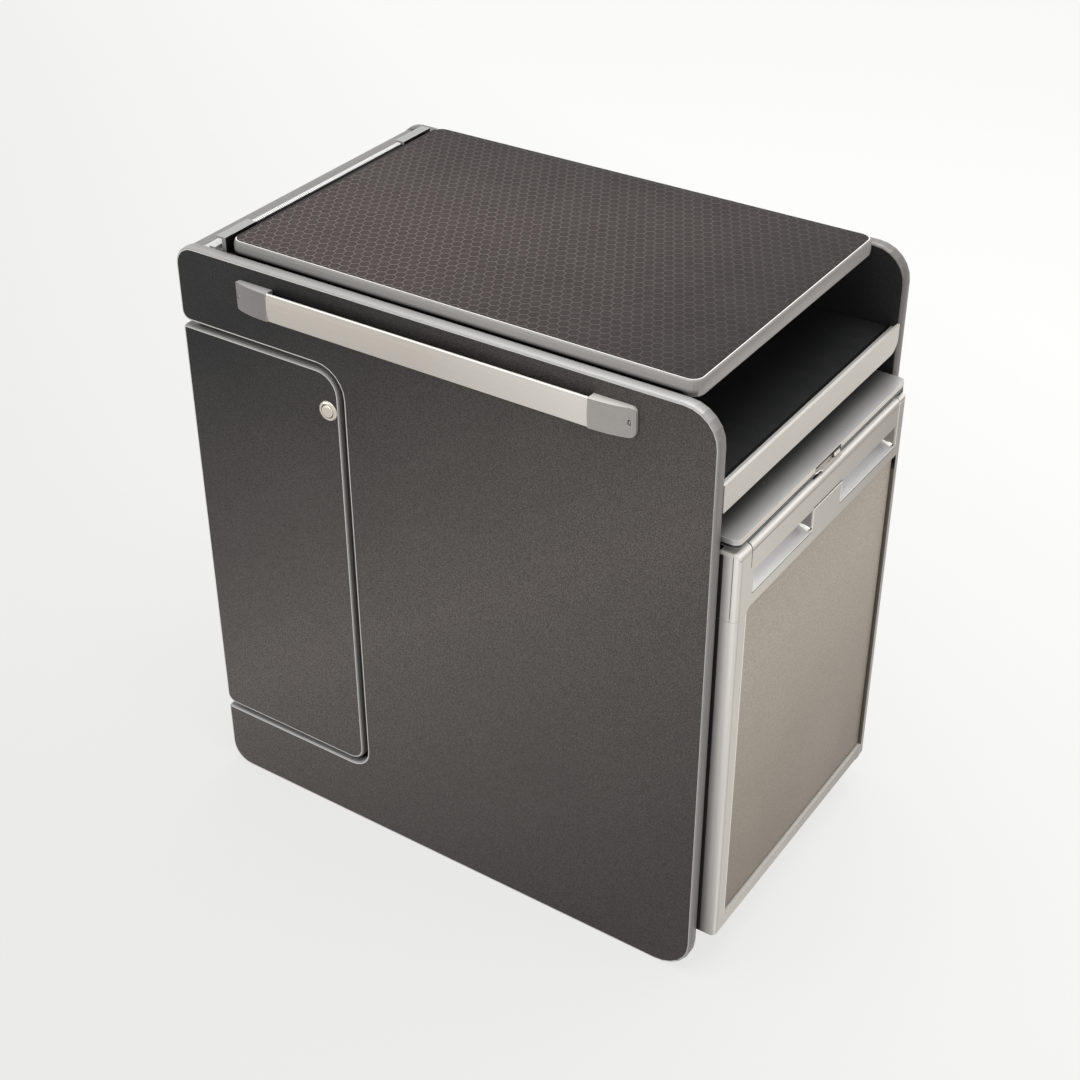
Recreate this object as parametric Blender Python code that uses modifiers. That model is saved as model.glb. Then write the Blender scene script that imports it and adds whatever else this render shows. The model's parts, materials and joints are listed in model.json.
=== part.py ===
"""Campervan kitchen pod: two long panels carry a flip-over lid, a locker and, at one end, a fridge.

Lengths are metres. Pod coordinates run from the left end (x), the front face (y) and the floor (z);
place() moves them to the object's own frame, whose origin is the bottom centre of its bounding box.
"""

import math

import bmesh
import bpy
from mathutils import Matrix, Vector

# Overall sizes of the pod
POD_LENGTH = 0.672
POD_WIDTH = 0.420
POD_HEIGHT = 0.726
BOARD = 0.015
SEAT = 0.0003
OVERRUN = 0.015
WELD = 0.000003
BACK_FACE = POD_WIDTH - BOARD
INNER_FRONT = BOARD + SEAT
INNER_BACK = BACK_FACE - SEAT

# Corner radii of the long panels
TOP_LEFT_RADIUS = 0.025
TOP_RIGHT_RADIUS = 0.040
BOTTOM_RIGHT_RADIUS = 0.045
BOTTOM_LEFT_RADIUS = 0.028
NOTCH_LIP_RADIUS = 0.012
NOTCH_TIP_RADIUS = 0.0052

# Edging strip, bowed across the board: (depth share, half width share)
EDGING_DEPTH = 0.0032
EDGING_SHARES = (
    (0, -1),
    (0.34, -1),
    (0.72, -0.84),
    (0.94, -0.52),
    (1, -0.2),
    (1, 0.2),
    (0.94, 0.52),
    (0.72, 0.84),
    (0.34, 1),
    (0, 1),
)

# Inner panels
END_INSET = 0.010
END_DROP = 0.005
PLINTH = 0.032
BASE_SETBACK = 0.017
SHELF_DROP = 0.0917
END_RIGHT = END_INSET + BOARD
END_TOP = POD_HEIGHT - END_DROP
BASE_TOP = PLINTH + BOARD
SHELF_TOP = POD_HEIGHT - SHELF_DROP
SHELF_BOTTOM = SHELF_TOP - BOARD

# Locker notch and door
NOTCH_WIDTH = 0.2238
NOTCH_SILL = 0.042
NOTCH_DROP = 0.092
DOOR_GAP = 0.0055
DOOR_TOP_RADIUS = 0.0282
DOOR_BOTTOM_RADIUS = 0.020
DOOR_HEEL_RADIUS = 0.0122
DOOR_TIP_RADIUS = 0.0051
NOTCH_BOTTOM = BASE_TOP + NOTCH_SILL
NOTCH_TOP = POD_HEIGHT - NOTCH_DROP
DOOR_WIDTH = NOTCH_WIDTH - DOOR_GAP
DOOR_BOTTOM = NOTCH_BOTTOM + DOOR_GAP
DOOR_TOP = NOTCH_TOP - DOOR_GAP

# Push lock
LOCK_INSET = 0.0150
LOCK_DROP = 0.0471
ROSETTE_RADIUS = 0.0119
ROSETTE_HEIGHT = 0.0030
ROSETTE_BORE = 0.0083
BUTTON_RADIUS = 0.0076
BUTTON_PROUD = 0.0040
BUTTON_TAIL = 0.0100
ROSETTE_SHARES = ((1, 0.33), (0.72, 0.8), (0.42, 1), (0.14, 1), (0, 0.83))
BUTTON_SHARES = ((1, 0.55), (0.92, 0.8), (0.62, 0.95), (0, 1))
LOCK_CASE_INSET = 0.0018
LOCK_CASE_WIDTH = 0.0335
LOCK_CASE_DEPTH = 0.013
LOCK_CASE_HEIGHT = 0.043
BOLT_SHY = 0.0023
BOLT_LENGTH = 0.026
BOLT_WIDTH = 0.0062
BOLT_HEIGHT = 0.0101
BOLT_PLAY = 0.0005
BOLT_THROW = 0.006
BOLT_SLOPE = 0.0021
STRIKE_LENGTH = 0.020
STRIKE_HEIGHT = 0.031
STRIKE_THICKNESS = 0.0015
LOCK_X = DOOR_WIDTH - LOCK_INSET
LOCK_Z = DOOR_TOP - LOCK_DROP
LOCK_CASE_RIGHT = DOOR_WIDTH - LOCK_CASE_INSET
LOCK_CASE_LEFT = LOCK_CASE_RIGHT - LOCK_CASE_WIDTH
BOLT_TIP = NOTCH_WIDTH - BOLT_SHY

# Partition between the locker and the fridge
PARTITION_GAP = 0.002
PARTITION_RIGHT = LOCK_CASE_LEFT - PARTITION_GAP
PARTITION_LEFT = PARTITION_RIGHT - BOARD

# Locker door hinges
BUTT_INSET = 0.0035
BUTT_BEHIND = 0.0037
BUTT_RADIUS = 0.003
BUTT_HEIGHT = 0.060
BUTT_END = 0.0255
BUTT_PLAY = 0.0005
BUTT_LEAF = 0.0013
BUTT_FIXED_REACH = 0.026
BUTT_MOVING_REACH = 0.034
BUTT_REBATE = 0.0025
BUTT_PIN = 0.0012
BUTT_ROOM = 0.001
BUTT_X = END_INSET - BUTT_INSET
BUTT_Y = BOARD + BUTT_BEHIND
BUTT_LOW = DOOR_BOTTOM + BUTT_END
BUTT_HIGH = DOOR_TOP - BUTT_END - BUTT_HEIGHT

# Aluminium lip in front of the shelf
LIP_SETBACK = 0.0007
LIP_THICKNESS = 0.0031
LIP_RISE = 0.0067
LIP_HEIGHT = 0.0313
LIP_RADIUS = 0.0155
LIP_NEAR_RADIUS = 0.0011
LIP_FLANGE = 0.0102
LIP_FLANGE_THICKNESS = 0.0015
LIP_SIDE_GAP = 0.0006
LIP_FRONT = POD_LENGTH - LIP_SETBACK
LIP_TOP = SHELF_TOP + LIP_RISE

# Lid
LID_RISE = 0.0115
LID_SIDE_GAP = 0.005
LID_END_GAP = 0.036
LID_THICKNESS = 0.019
LID_RADIUS = 0.0148
LID_SHEET = 0.0009
LID_TOP = POD_HEIGHT + LID_RISE
LID_BOTTOM = LID_TOP - LID_THICKNESS
LID_FRONT = BOARD + LID_SIDE_GAP
LID_BACK = BACK_FACE - LID_SIDE_GAP
LID_RIGHT = POD_LENGTH - LID_END_GAP

# Lid hinge
HINGE_INSET = 0.023
HINGE_BELOW_TOP = 0.0070
HINGE_TO_LID = 0.0140
KNUCKLE_RADIUS = 0.0038
PIN_RADIUS = 0.0014
PIN_PLAY = 0.0003
KNUCKLE_COUNT = 11
KNUCKLE_PLAY = 0.0004
HINGE_END_GAP = 0.0016
HINGE_BAR_GAP = 0.0016
HINGE_BAR_WIDTH = 0.008
HINGE_BAR_BELOW = 0.0043
HINGE_BAR_HEIGHT = 0.0262
HINGE_SLOT = 0.0026
HINGE_FLANGE_DROP = 0.0057
HINGE_WEB = 0.004
LEAF_BRIDGE = 0.0016
LEAF_PLATE = 0.0014
LEAF_BELOW = 0.0110
LEAF_ABOVE = 0.0050
BLOCK_OVERLAP = 0.0014
BLOCK_REACH = 0.0095
BLOCK_SIDE_GAP = 0.0060
BLOCK_LENGTH = 0.050
BACK_BLOCK_LENGTH = 0.052
BACK_BLOCK_SIDE_GAP = 0.0151
BLOCK_ROOF = 0.0025
BLOCK_WALL = 0.0053
BLOCK_FOOT_DROP = 0.0042
HINGE_X = END_RIGHT + HINGE_INSET
HINGE_Z = LID_TOP - HINGE_BELOW_TOP
LID_LEFT = HINGE_X + HINGE_TO_LID
HINGE_BAR_RIGHT = HINGE_X - HINGE_BAR_GAP
HINGE_BAR_LEFT = HINGE_BAR_RIGHT - HINGE_BAR_WIDTH
HINGE_BAR_TOP = HINGE_Z - HINGE_BAR_BELOW
HINGE_BOTTOM = HINGE_BAR_TOP - HINGE_BAR_HEIGHT
HINGE_FLANGE_TOP = HINGE_BAR_TOP - HINGE_FLANGE_DROP
BLOCK_LEFT = HINGE_BAR_RIGHT - BLOCK_OVERLAP
BLOCK_RIGHT = HINGE_X + BLOCK_REACH
BLOCK_FRONT = BOARD + BLOCK_SIDE_GAP
BLOCK_BACK = BACK_FACE - BACK_BLOCK_SIDE_GAP
BLOCK_FOOT_TOP = HINGE_BAR_TOP - BLOCK_FOOT_DROP

# Battens that the lid rests on
REST_WIDTH = 0.012
REST_HEIGHT = 0.0152
REST_SHORT = 0.0362
REST_END = LID_RIGHT - REST_SHORT

# Grab rail, with its caps in plan: (length share, reach share)
RAIL_REACH = 0.012
RAIL_DROP = 0.0195
RAIL_HEIGHT = 0.0325
RAIL_LEFT = 0.0885
RAIL_RIGHT_INSET = 0.0875
RAIL_CAP = 0.0490
RAIL_THICKNESS = 0.003
RAIL_BOW = 0.0008
RAIL_CAP_RADIUS = 0.0058
RAIL_CAP_SHARES = (
    (0, 0),
    (0.01, 0.26),
    (0.06, 0.44),
    (0.25, 0.68),
    (0.52, 0.88),
    (0.78, 0.97),
    (1, 1),
    (1, 0),
)
RAIL_SLOT_WIDTH = 0.0036
RAIL_SLOT_HEIGHT = 0.0071
RAIL_SLOT_INSET = 0.0060
RAIL_SLOT_FLOOR = 0.0039
RAIL_TOP = POD_HEIGHT - RAIL_DROP
RAIL_BOTTOM = RAIL_TOP - RAIL_HEIGHT
RAIL_RIGHT = POD_LENGTH - RAIL_RIGHT_INSET

# Fridge cabinet
FRIDGE_SIDE_GAP = 0.0050
FRIDGE_BACK_GAP = 0.0115
FRIDGE_DOOR_PROUD = 0.018
FRIDGE_DOOR_THICKNESS = 0.0357
FRIDGE_DOOR_GAP = 0.0083
FRIDGE_HEADROOM = 0.0385
PLATE_THICKNESS = 0.0090
LINER_SIDE = 0.030
LINER_BACK_WALL = 0.034
LINER_FLOOR_WALL = 0.0377
LINER_ROOF_WALL = 0.0265
LINER_WALL = 0.0016
LINER_RIM = 0.0020
LINER_RIM_EDGE = 0.006
RECESS_DEPTH = 0.111
RECESS_HEIGHT = 0.1547
RECESS_WALL = 0.033
FRIDGE_LEFT = BOARD + FRIDGE_SIDE_GAP
FRIDGE_RIGHT = BACK_FACE - FRIDGE_SIDE_GAP
FRIDGE_BACK = LOCK_CASE_RIGHT + FRIDGE_BACK_GAP
FRIDGE_FRONT = POD_LENGTH + FRIDGE_DOOR_PROUD
DOOR_BACK = FRIDGE_FRONT - FRIDGE_DOOR_THICKNESS
CABINET_FRONT = DOOR_BACK - FRIDGE_DOOR_GAP
CABINET_BOTTOM = BASE_TOP + SEAT
PLATE_TOP = SHELF_BOTTOM - FRIDGE_HEADROOM
PLATE_BOTTOM = PLATE_TOP - PLATE_THICKNESS
CABINET_TOP = PLATE_BOTTOM - SEAT
LINER_REAR = FRIDGE_BACK + LINER_BACK_WALL
LINER_FLOOR = CABINET_BOTTOM + LINER_FLOOR_WALL
LINER_ROOF = CABINET_TOP - LINER_ROOF_WALL
RECESS_FRONT = PARTITION_RIGHT + RECESS_DEPTH
RECESS_TOP = CABINET_BOTTOM + RECESS_HEIGHT
LINER_STEP_REAR = RECESS_FRONT + RECESS_WALL
LINER_STEP_TOP = RECESS_TOP + RECESS_WALL

# Fridge door
FRIDGE_DOOR_UNDER = 0.007
FRIDGE_DOOR_OVER = 0.0065
STILE_LEFT = 0.0224
STILE_RIGHT = 0.0091
SILL = 0.0153
FRAME_LEFT_RADIUS = 0.006
FRAME_RIGHT_RADIUS = 0.003
CAP_SEAM_SETBACK = 0.0067
CAP_SEAM_WIDTH = 0.0005
CAP_SEAM_DEPTH = 0.0007
HEAD_HEIGHT = 0.0807
HEAD_STEP = 0.0052
INSERT_THICKNESS = 0.0072
INSERT_SETBACK = 0.0107
INSERT_RIGHT_GAP = 0.0021
INSERT_BOTTOM_GAP = 0.0023
INSERT_RADIUS = 0.0071
BAND_HEIGHT = 0.034
BAND_DEPTH = 0.014
BAND_LEFT_INSET = 0.026
BAND_RIGHT_INSET = 0.016
BAND_ROUND = 0.008
BAND_GROOVE = 0.0009
BAND_GROOVE_DROP = 0.0081
CROWN_SHARES = ((0, 1), (0.08, 0.55), (0.3, 0.2), (0.75, 0))
GRIP_HEIGHT = 0.027
GRIP_DEPTH = 0.013
GRIP_UPWARD = 0.0151
GRIP_LEFT_INSET = 0.006
GRIP_RIGHT_INSET = 0.002
GRIP_PLATE = 0.065
GRIP_SLANT = 0.012
GRIP_LIP = 0.0009
GRIP_SHARES = ((1, 1), (0.93, 0.8), (0.75, 0.55), (0.42, 0.25))
FRIDGE_DOOR_BOTTOM = BASE_TOP + FRIDGE_DOOR_UNDER
FRIDGE_DOOR_TOP = CABINET_TOP - FRIDGE_DOOR_OVER
HEAD_BOTTOM = FRIDGE_DOOR_TOP - HEAD_HEIGHT
INSERT_TOP = HEAD_BOTTOM + HEAD_STEP
INSERT_BACK = FRIDGE_FRONT - INSERT_SETBACK
BAND_LEFT = FRIDGE_LEFT + BAND_LEFT_INSET
BAND_RIGHT = FRIDGE_RIGHT - BAND_RIGHT_INSET
BAND_BOTTOM = FRIDGE_DOOR_TOP - BAND_HEIGHT
BAND_BACK = FRIDGE_FRONT - BAND_DEPTH
GRIP_BOTTOM = BAND_BOTTOM - GRIP_HEIGHT
GRIP_BACK = BAND_BACK - GRIP_DEPTH

# Inside of the fridge door
SEAL_THICKNESS = 0.0053
SEAL_WIDTH = 0.0121
SEAL_INSET = 0.0082
LINING_DEPTH = 0.010
LINING_DENT = 0.0061
LINING_SIDE = 0.0361
LINING_END = 0.044
RACK_DEPTH = 0.0342
RACK_WALL = 0.0022
RACK_RADIUS = 0.0085
RACK_SIDE = 0.046
LOW_RACK_RISE = 0.056
LOW_RACK_HEIGHT = 0.070
HIGH_RACK_DROP = 0.255
HIGH_RACK_HEIGHT = 0.045

# Fridge top plate and latch
PLATE_SETBACK = 0.002
PLATE_RADIUS = 0.0079
LATCH_WIDTH = 0.059
LATCH_DEPTH = 0.0105
LATCH_PROUD = 0.0015
LATCH_OVER_DOOR = 0.0012
LATCH_BELOW_PLATE = 0.0017
LATCH_SLOPE = 0.005
LATCH_HOOK = 0.0155
LATCH_MOUTH = 0.0058
LATCH_CLEAR = 0.0005
KNOB_INSET = 0.0051
KNOB_LENGTH = 0.013
KNOB_HEIGHT = 0.0054
KNOB_PROUD = 0.0022
KNOB_TRAVEL = 0.0131
KNOB_SLOT_DEPTH = 0.0017
PLATE_FRONT = FRIDGE_FRONT - PLATE_SETBACK
LATCH_LEFT = (POD_WIDTH - LATCH_WIDTH) / 2
LATCH_RIGHT = LATCH_LEFT + LATCH_WIDTH
LATCH_BACK = PLATE_FRONT - LATCH_DEPTH
LATCH_FRONT = PLATE_FRONT + LATCH_PROUD
LATCH_BOTTOM = FRIDGE_DOOR_TOP + LATCH_OVER_DOOR
LATCH_TOP = PLATE_TOP - LATCH_BELOW_PLATE

# Fridge door hinges
PIVOT_INSET = 0.008
PIVOT_RADIUS = 0.0029
PIVOT_PLAY = 0.0003
PIVOT_DEPTH = 0.0082
BRACKET_THICKNESS = 0.0029
BRACKET_WIDTH = 0.024
BRACKET_NOSE = 0.0062
BRACKET_ROUND = 0.0059
BRACKET_END_GAP = 0.0016
LOW_BRACKET_GAP = 0.0014
HIGH_BRACKET_GAP = 0.0025
PIVOT_X = FRIDGE_FRONT - PIVOT_INSET
PIVOT_Y = FRIDGE_RIGHT - PIVOT_INSET

# Fridge inside
THERMOSTAT_SETBACK = 0.071
THERMOSTAT_LENGTH = 0.0605
THERMOSTAT_HEIGHT = 0.0435
THERMOSTAT_DEPTH = 0.024
DIAL_RADIUS = 0.0142
DIAL_HEIGHT = 0.0092
DIAL_MARK = 0.0015
DIAL_SHARES = ((0, 0), (1, 0), (0.92, 0.85), (0.8, 1), (0, 1))
EVAPORATOR_REAR_GAP = 0.0131
EVAPORATOR_GAP = 0.015
EVAPORATOR_SIDE = 0.055
EVAPORATOR_HEIGHT = 0.075
EVAPORATOR_WALL = 0.0030
EVAPORATOR_RADIUS = 0.0103
WIRE_SHELF_GAP = 0.0062
WIRE_SHELF_SETBACK = 0.0561
WIRE_SHELF_THICKNESS = 0.0045
WIRE_SHELF_FRAME = 0.0099
WIRE_SHELF_BAR = 0.0059
WIRE_SHELF_SLOTS = 9
LOWER_SHELF_RISE = 0.0101
LEDGE_WIDTH = 0.006
LEDGE_HEIGHT = 0.0049
THERMOSTAT_FRONT = CABINET_FRONT - THERMOSTAT_SETBACK
THERMOSTAT_REAR = THERMOSTAT_FRONT - THERMOSTAT_LENGTH
EVAPORATOR_REAR = LINER_REAR + EVAPORATOR_REAR_GAP
EVAPORATOR_FRONT = THERMOSTAT_REAR - EVAPORATOR_GAP
WIRE_SHELF_REAR = LINER_REAR + WIRE_SHELF_GAP
WIRE_SHELF_FRONT = CABINET_FRONT - WIRE_SHELF_SETBACK
LOWER_SHELF = LINER_STEP_TOP + LOWER_SHELF_RISE
UPPER_SHELF = (LOWER_SHELF + LINER_ROOF - EVAPORATOR_HEIGHT) / 2

# Cooling unit behind the fridge
TRAY_REAR_GAP = 0.0105
TRAY_FRONT_GAP = 0.0021
TRAY_SIDE = 0.028
TRAY_THICKNESS = 0.0021
TRAY_LIP = 0.0119
COMPRESSOR_INSET = 0.082
COMPRESSOR_RADIUS = 0.043
COMPRESSOR_HEIGHT = 0.105
COMPRESSOR_FOOT = 0.0455
COMPRESSOR_SHARES = (
    (0.8, 0.06),
    (1, 0.2),
    (1, 0.5),
    (1.04, 0.51),
    (1.04, 0.55),
    (1, 0.56),
    (0.97, 0.75),
    (0.78, 0.93),
    (0.4, 1),
    (0, 1),
)
ELECTRONICS_LENGTH = 0.0118
ELECTRONICS_WIDTH = 0.0595
ELECTRONICS_HEIGHT = 0.0505
CONDENSER_DEPTH = 0.040
CONDENSER_HEIGHT = 0.110
CONDENSER_FINS = 10
CONDENSER_FIN = 0.0023
CONDENSER_SPINE = 0.0078
CONDENSER_INSET = 0.0149
CONDENSER_GAP = 0.0202
TRAY_REAR = PARTITION_RIGHT + TRAY_REAR_GAP
TRAY_FRONT = RECESS_FRONT - TRAY_FRONT_GAP
TRAY_LEFT = FRIDGE_LEFT + TRAY_SIDE
TRAY_RIGHT = FRIDGE_RIGHT - TRAY_SIDE
COMPRESSOR_Y = TRAY_RIGHT - COMPRESSOR_INSET

# Facets of round shapes
CORNER_STEPS = 6
SMALL_STEPS = 4
TUBE_STEPS = 16
ROUND_STEPS = 28
SMOOTH_ANGLE = 40

# Middle of the bounding box
MID_X = FRIDGE_FRONT / 2
MID_Y = (POD_WIDTH - RAIL_REACH) / 2


def fresh_scene():
    for old in list(bpy.data.objects):
        bpy.data.objects.remove(old)
    made = []
    for name in ("kitchen_pod", "kitchen_pod_cutters"):
        collection = bpy.data.collections.new(name)
        bpy.context.scene.collection.children.link(collection)
        made.append(collection)
    made[1].hide_render = True
    return made


PARTS, CUTTERS = fresh_scene()


def material(name, colour, roughness, metallic):
    made = bpy.data.materials.new(name)
    made.use_nodes = True
    shader = made.node_tree.nodes["Principled BSDF"]
    shader.inputs["Base Color"].default_value = (*colour, 1)
    shader.inputs["Roughness"].default_value = roughness
    shader.inputs["Metallic"].default_value = metallic
    made.diffuse_color = (*colour, 1)
    return made


LAMINATE = material("anthracite_laminate", (0.06, 0.055, 0.054), 0.55, 0)
INNER_LAMINATE = material("black_laminate", (0.012, 0.012, 0.012), 0.5, 0)
EDGING = material("grey_edging", (0.39, 0.38, 0.37), 0.45, 0)
LID_FILM = material("lid_film", (0.09, 0.075, 0.07), 0.45, 0)
ANODISED = material("champagne_aluminium", (0.56, 0.51, 0.44), 0.35, 1)
BRIGHT = material("bright_aluminium", (0.8, 0.8, 0.79), 0.25, 1)
NICKEL = material("satin_nickel", (0.7, 0.66, 0.6), 0.25, 1)
STEEL = material("zinc_steel", (0.5, 0.5, 0.5), 0.35, 1)
CAP_PLASTIC = material("cap_plastic", (0.33, 0.32, 0.31), 0.45, 0)
FRIDGE_SILVER = material("fridge_silver", (0.49, 0.46, 0.43), 0.4, 0.3)
FRIDGE_PLATE = material("fridge_plate", (0.45, 0.43, 0.41), 0.35, 0.4)
FRIDGE_PANEL = material("fridge_panel", (0.3, 0.26, 0.22), 0.4, 0.2)
CABINET_PAINT = material("cabinet_paint", (0.08, 0.08, 0.08), 0.5, 0)
WHITE_LINER = material("white_liner", (0.8, 0.8, 0.78), 0.35, 0)
SEAL_RUBBER = material("seal_rubber", (0.2, 0.2, 0.2), 0.7, 0)
BLACK_ENAMEL = material("black_enamel", (0.015, 0.015, 0.015), 0.3, 0)
DARK_PLASTIC = material("dark_plastic", (0.03, 0.03, 0.03), 0.5, 0)


def place(point):
    """World position of a point given in pod coordinates."""
    return Vector(point) - Vector((MID_X, MID_Y, 0))


def add(name, mesh, finish=None, pivot=None, cutter=False):
    """Object from a mesh in pod coordinates, with its origin on the pivot or else at the mesh's middle."""
    if pivot is None:
        spots = [vertex.co for vertex in mesh.vertices]
        low = Vector([min(spot[k] for spot in spots) for k in range(3)])
        high = Vector([max(spot[k] for spot in spots) for k in range(3)])
        pivot = (low + high) / 2
    mesh.transform(Matrix.Translation(-Vector(pivot)))
    mesh.name = name
    mesh.shade_smooth()
    mesh.set_sharp_from_angle(angle=math.radians(SMOOTH_ANGLE))
    made = bpy.data.objects.new(name, mesh)
    made.location = place(pivot)
    if cutter:
        made.hide_render = True
        made.display_type = "WIRE"
        CUTTERS.objects.link(made)
    else:
        mesh.materials.append(finish)
        PARTS.objects.link(made)
    return made


def mesh_of(shape):
    mesh = bpy.data.meshes.new("shape")
    bmesh.ops.recalc_face_normals(shape, faces=shape.faces)
    shape.to_mesh(mesh)
    shape.free()
    return mesh


def box_mesh(low, high):
    shape = bmesh.new()
    bmesh.ops.create_cube(shape, size=1)
    low = Vector(low)
    high = Vector(high)
    stretch = Matrix.Diagonal((*(high - low), 1))
    shape.transform(Matrix.Translation((low + high) / 2) @ stretch)
    return mesh_of(shape)


# How the plane of an outline and its extrusion lie in the pod, for each extrusion axis
PLANES = {
    "X": Matrix(((0, 0, 1, 0), (1, 0, 0, 0), (0, 1, 0, 0), (0, 0, 0, 1))),
    "Y": Matrix(((1, 0, 0, 0), (0, 0, -1, 0), (0, 1, 0, 0), (0, 0, 0, 1))),
    "Z": Matrix.Identity(4),
}
AXES = {"X": Vector((1, 0, 0)), "Y": Vector((0, 1, 0)), "Z": Vector((0, 0, 1))}
# How a turned shape's own height lies in the pod: on Y it points to the front
TURNS = {
    "X": Matrix.Rotation(math.pi / 2, 4, "Y"),
    "Y": Matrix.Rotation(math.pi / 2, 4, "X"),
    "Z": Matrix.Identity(4),
}


def evaluated_mesh(holder):
    """Welded copy of what an object evaluates to; the object itself is removed."""
    PARTS.objects.link(holder)
    bpy.context.view_layer.update()
    graph = bpy.context.evaluated_depsgraph_get()
    mesh = bpy.data.meshes.new_from_object(holder.evaluated_get(graph))
    bpy.data.objects.remove(holder)
    shape = bmesh.new()
    shape.from_mesh(mesh)
    bmesh.ops.remove_doubles(shape, verts=shape.verts, dist=WELD)
    mesh.materials.clear()
    bmesh.ops.recalc_face_normals(shape, faces=shape.faces)
    shape.to_mesh(mesh)
    shape.free()
    return mesh


def poly_curve(name, loops):
    curve = bpy.data.curves.new(name, "CURVE")
    curve.dimensions = "2D"
    for loop in loops:
        spline = curve.splines.new("POLY")
        spline.points.add(len(loop) - 1)
        for point, (u, v) in zip(spline.points, loop):
            point.co = (u, v, 0, 1)
        spline.use_cyclic_u = True
    return curve


def prism_mesh(axis, loops, start, end):
    """Outline, with any holes, extruded from start to end along an axis."""
    curve = poly_curve("outline", loops)
    curve.fill_mode = "BOTH"
    curve.extrude = (end - start) / 2
    mesh = evaluated_mesh(bpy.data.objects.new("outline", curve))
    bpy.data.curves.remove(curve)
    mesh.transform(Matrix.Translation(AXES[axis] * (start + end) / 2) @ PLANES[axis])
    return mesh


def lathe_mesh(axis, centre, profile, steps, closed=False):
    """Profile of (radius, height) points turned about an axis through the centre."""
    mesh = bpy.data.meshes.new("profile")
    count = len(profile)
    links = [(k, (k + 1) % count) for k in range(count if closed else count - 1)]
    mesh.from_pydata([(radius, 0, height) for radius, height in profile], links, [])
    holder = bpy.data.objects.new("profile", mesh)
    screw = holder.modifiers.new("turn", "SCREW")
    screw.steps = steps
    screw.render_steps = steps
    screw.use_merge_vertices = True
    screw.merge_threshold = WELD
    turned = evaluated_mesh(holder)
    turned.transform(Matrix.Translation(centre) @ TURNS[axis])
    return turned


def rod_mesh(axis, start, radius, length, steps):
    """Cylinder from a start point along an axis."""
    shape = bmesh.new()
    bmesh.ops.create_cone(shape, cap_ends=True, segments=steps, radius1=radius, radius2=radius, depth=length)
    turn = AXES["Z"].rotation_difference(AXES[axis]).to_matrix().to_4x4()
    shape.transform(Matrix.Translation(Vector(start) + AXES[axis] * length / 2) @ turn)
    return mesh_of(shape)


def combine(target, mesh, operation, name):
    """Boolean of an object with a mesh in pod coordinates."""
    other = add(name, mesh, cutter=True)
    change = target.modifiers.new(name, "BOOLEAN")
    change.operation = operation
    change.solver = "EXACT"
    change.object = other
    return target


def cut(target, mesh, name):
    return combine(target, mesh, "DIFFERENCE", name)


def join(target, mesh, name):
    return combine(target, mesh, "UNION", name)


def soften(target, width, steps=2):
    """Small rounding of the sharp edges."""
    bevel = target.modifiers.new("soften", "BEVEL")
    bevel.width = width
    bevel.segments = steps
    bevel.limit_method = "ANGLE"
    bevel.angle_limit = math.radians(SMOOTH_ANGLE)
    bevel.use_clamp_overlap = True
    return target


def inset(corners, depth):
    """Corners of a square-cornered outline moved inwards; each is (u, v, radius), counterclockwise."""
    moved = []
    for k, (u, v, radius) in enumerate(corners):
        before = Vector((u, v)) - Vector(corners[k - 1][:2])
        after = Vector(corners[(k + 1) % len(corners)][:2]) - Vector((u, v))
        before.normalize()
        after.normalize()
        turn = 1 if before.x * after.y - before.y * after.x > 0 else -1
        shift = (Vector((-before.y, before.x)) + Vector((-after.y, after.x))) * depth
        moved.append((u + shift.x, v + shift.y, radius - turn * depth))
    return moved


def rounded(corners, steps=CORNER_STEPS):
    """Points of an outline with its corners rounded."""
    points = []
    for k, (u, v, radius) in enumerate(corners):
        here = Vector((u, v))
        before = here - Vector(corners[k - 1][:2])
        after = Vector(corners[(k + 1) % len(corners)][:2]) - here
        before.normalize()
        after.normalize()
        if radius <= 0:
            points.append(tuple(here))
            continue
        turn = 1 if before.x * after.y - before.y * after.x > 0 else -1
        inward = Vector((-before.y, before.x)) * turn
        centre = here - before * radius + inward * radius
        for step in range(steps + 1):
            angle = math.pi / 2 * step / steps
            across = inward * math.cos(angle) - before * math.sin(angle)
            points.append(tuple(centre - across * radius))
    return points


def rectangle(u0, v0, u1, v1, radius=0):
    return [(u0, v0, radius), (u1, v0, radius), (u1, v1, radius), (u0, v1, radius)]


def edging_mesh(axis, corners, middle, width, steps):
    """Bowed strip swept round an outline; its inner face lies EDGING_DEPTH inside the corners."""
    half = width / 2
    path = poly_curve("path", [rounded(inset(corners, EDGING_DEPTH), steps)])
    bow = [(-out * EDGING_DEPTH, across * half) for out, across in EDGING_SHARES]
    section = poly_curve("section", [bow])
    holder = bpy.data.objects.new("section", section)
    PARTS.objects.link(holder)
    path.fill_mode = "NONE"
    path.bevel_mode = "OBJECT"
    path.bevel_object = holder
    mesh = evaluated_mesh(bpy.data.objects.new("path", path))
    bpy.data.objects.remove(holder)
    bpy.data.curves.remove(path)
    bpy.data.curves.remove(section)
    mesh.transform(Matrix.Translation(AXES[axis] * middle) @ PLANES[axis])
    return mesh


def panel_corners(notched):
    low = [
        (0, 0, BOTTOM_LEFT_RADIUS),
        (POD_LENGTH, 0, BOTTOM_RIGHT_RADIUS),
        (POD_LENGTH, POD_HEIGHT, TOP_RIGHT_RADIUS),
        (0, POD_HEIGHT, TOP_LEFT_RADIUS),
    ]
    notch = [
        (0, NOTCH_TOP, NOTCH_LIP_RADIUS),
        (NOTCH_WIDTH, NOTCH_TOP, DOOR_TOP_RADIUS + DOOR_GAP),
        (NOTCH_WIDTH, NOTCH_BOTTOM, DOOR_BOTTOM_RADIUS + DOOR_GAP),
        (0, NOTCH_BOTTOM, NOTCH_TIP_RADIUS),
    ]
    return low + notch if notched else low


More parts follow.
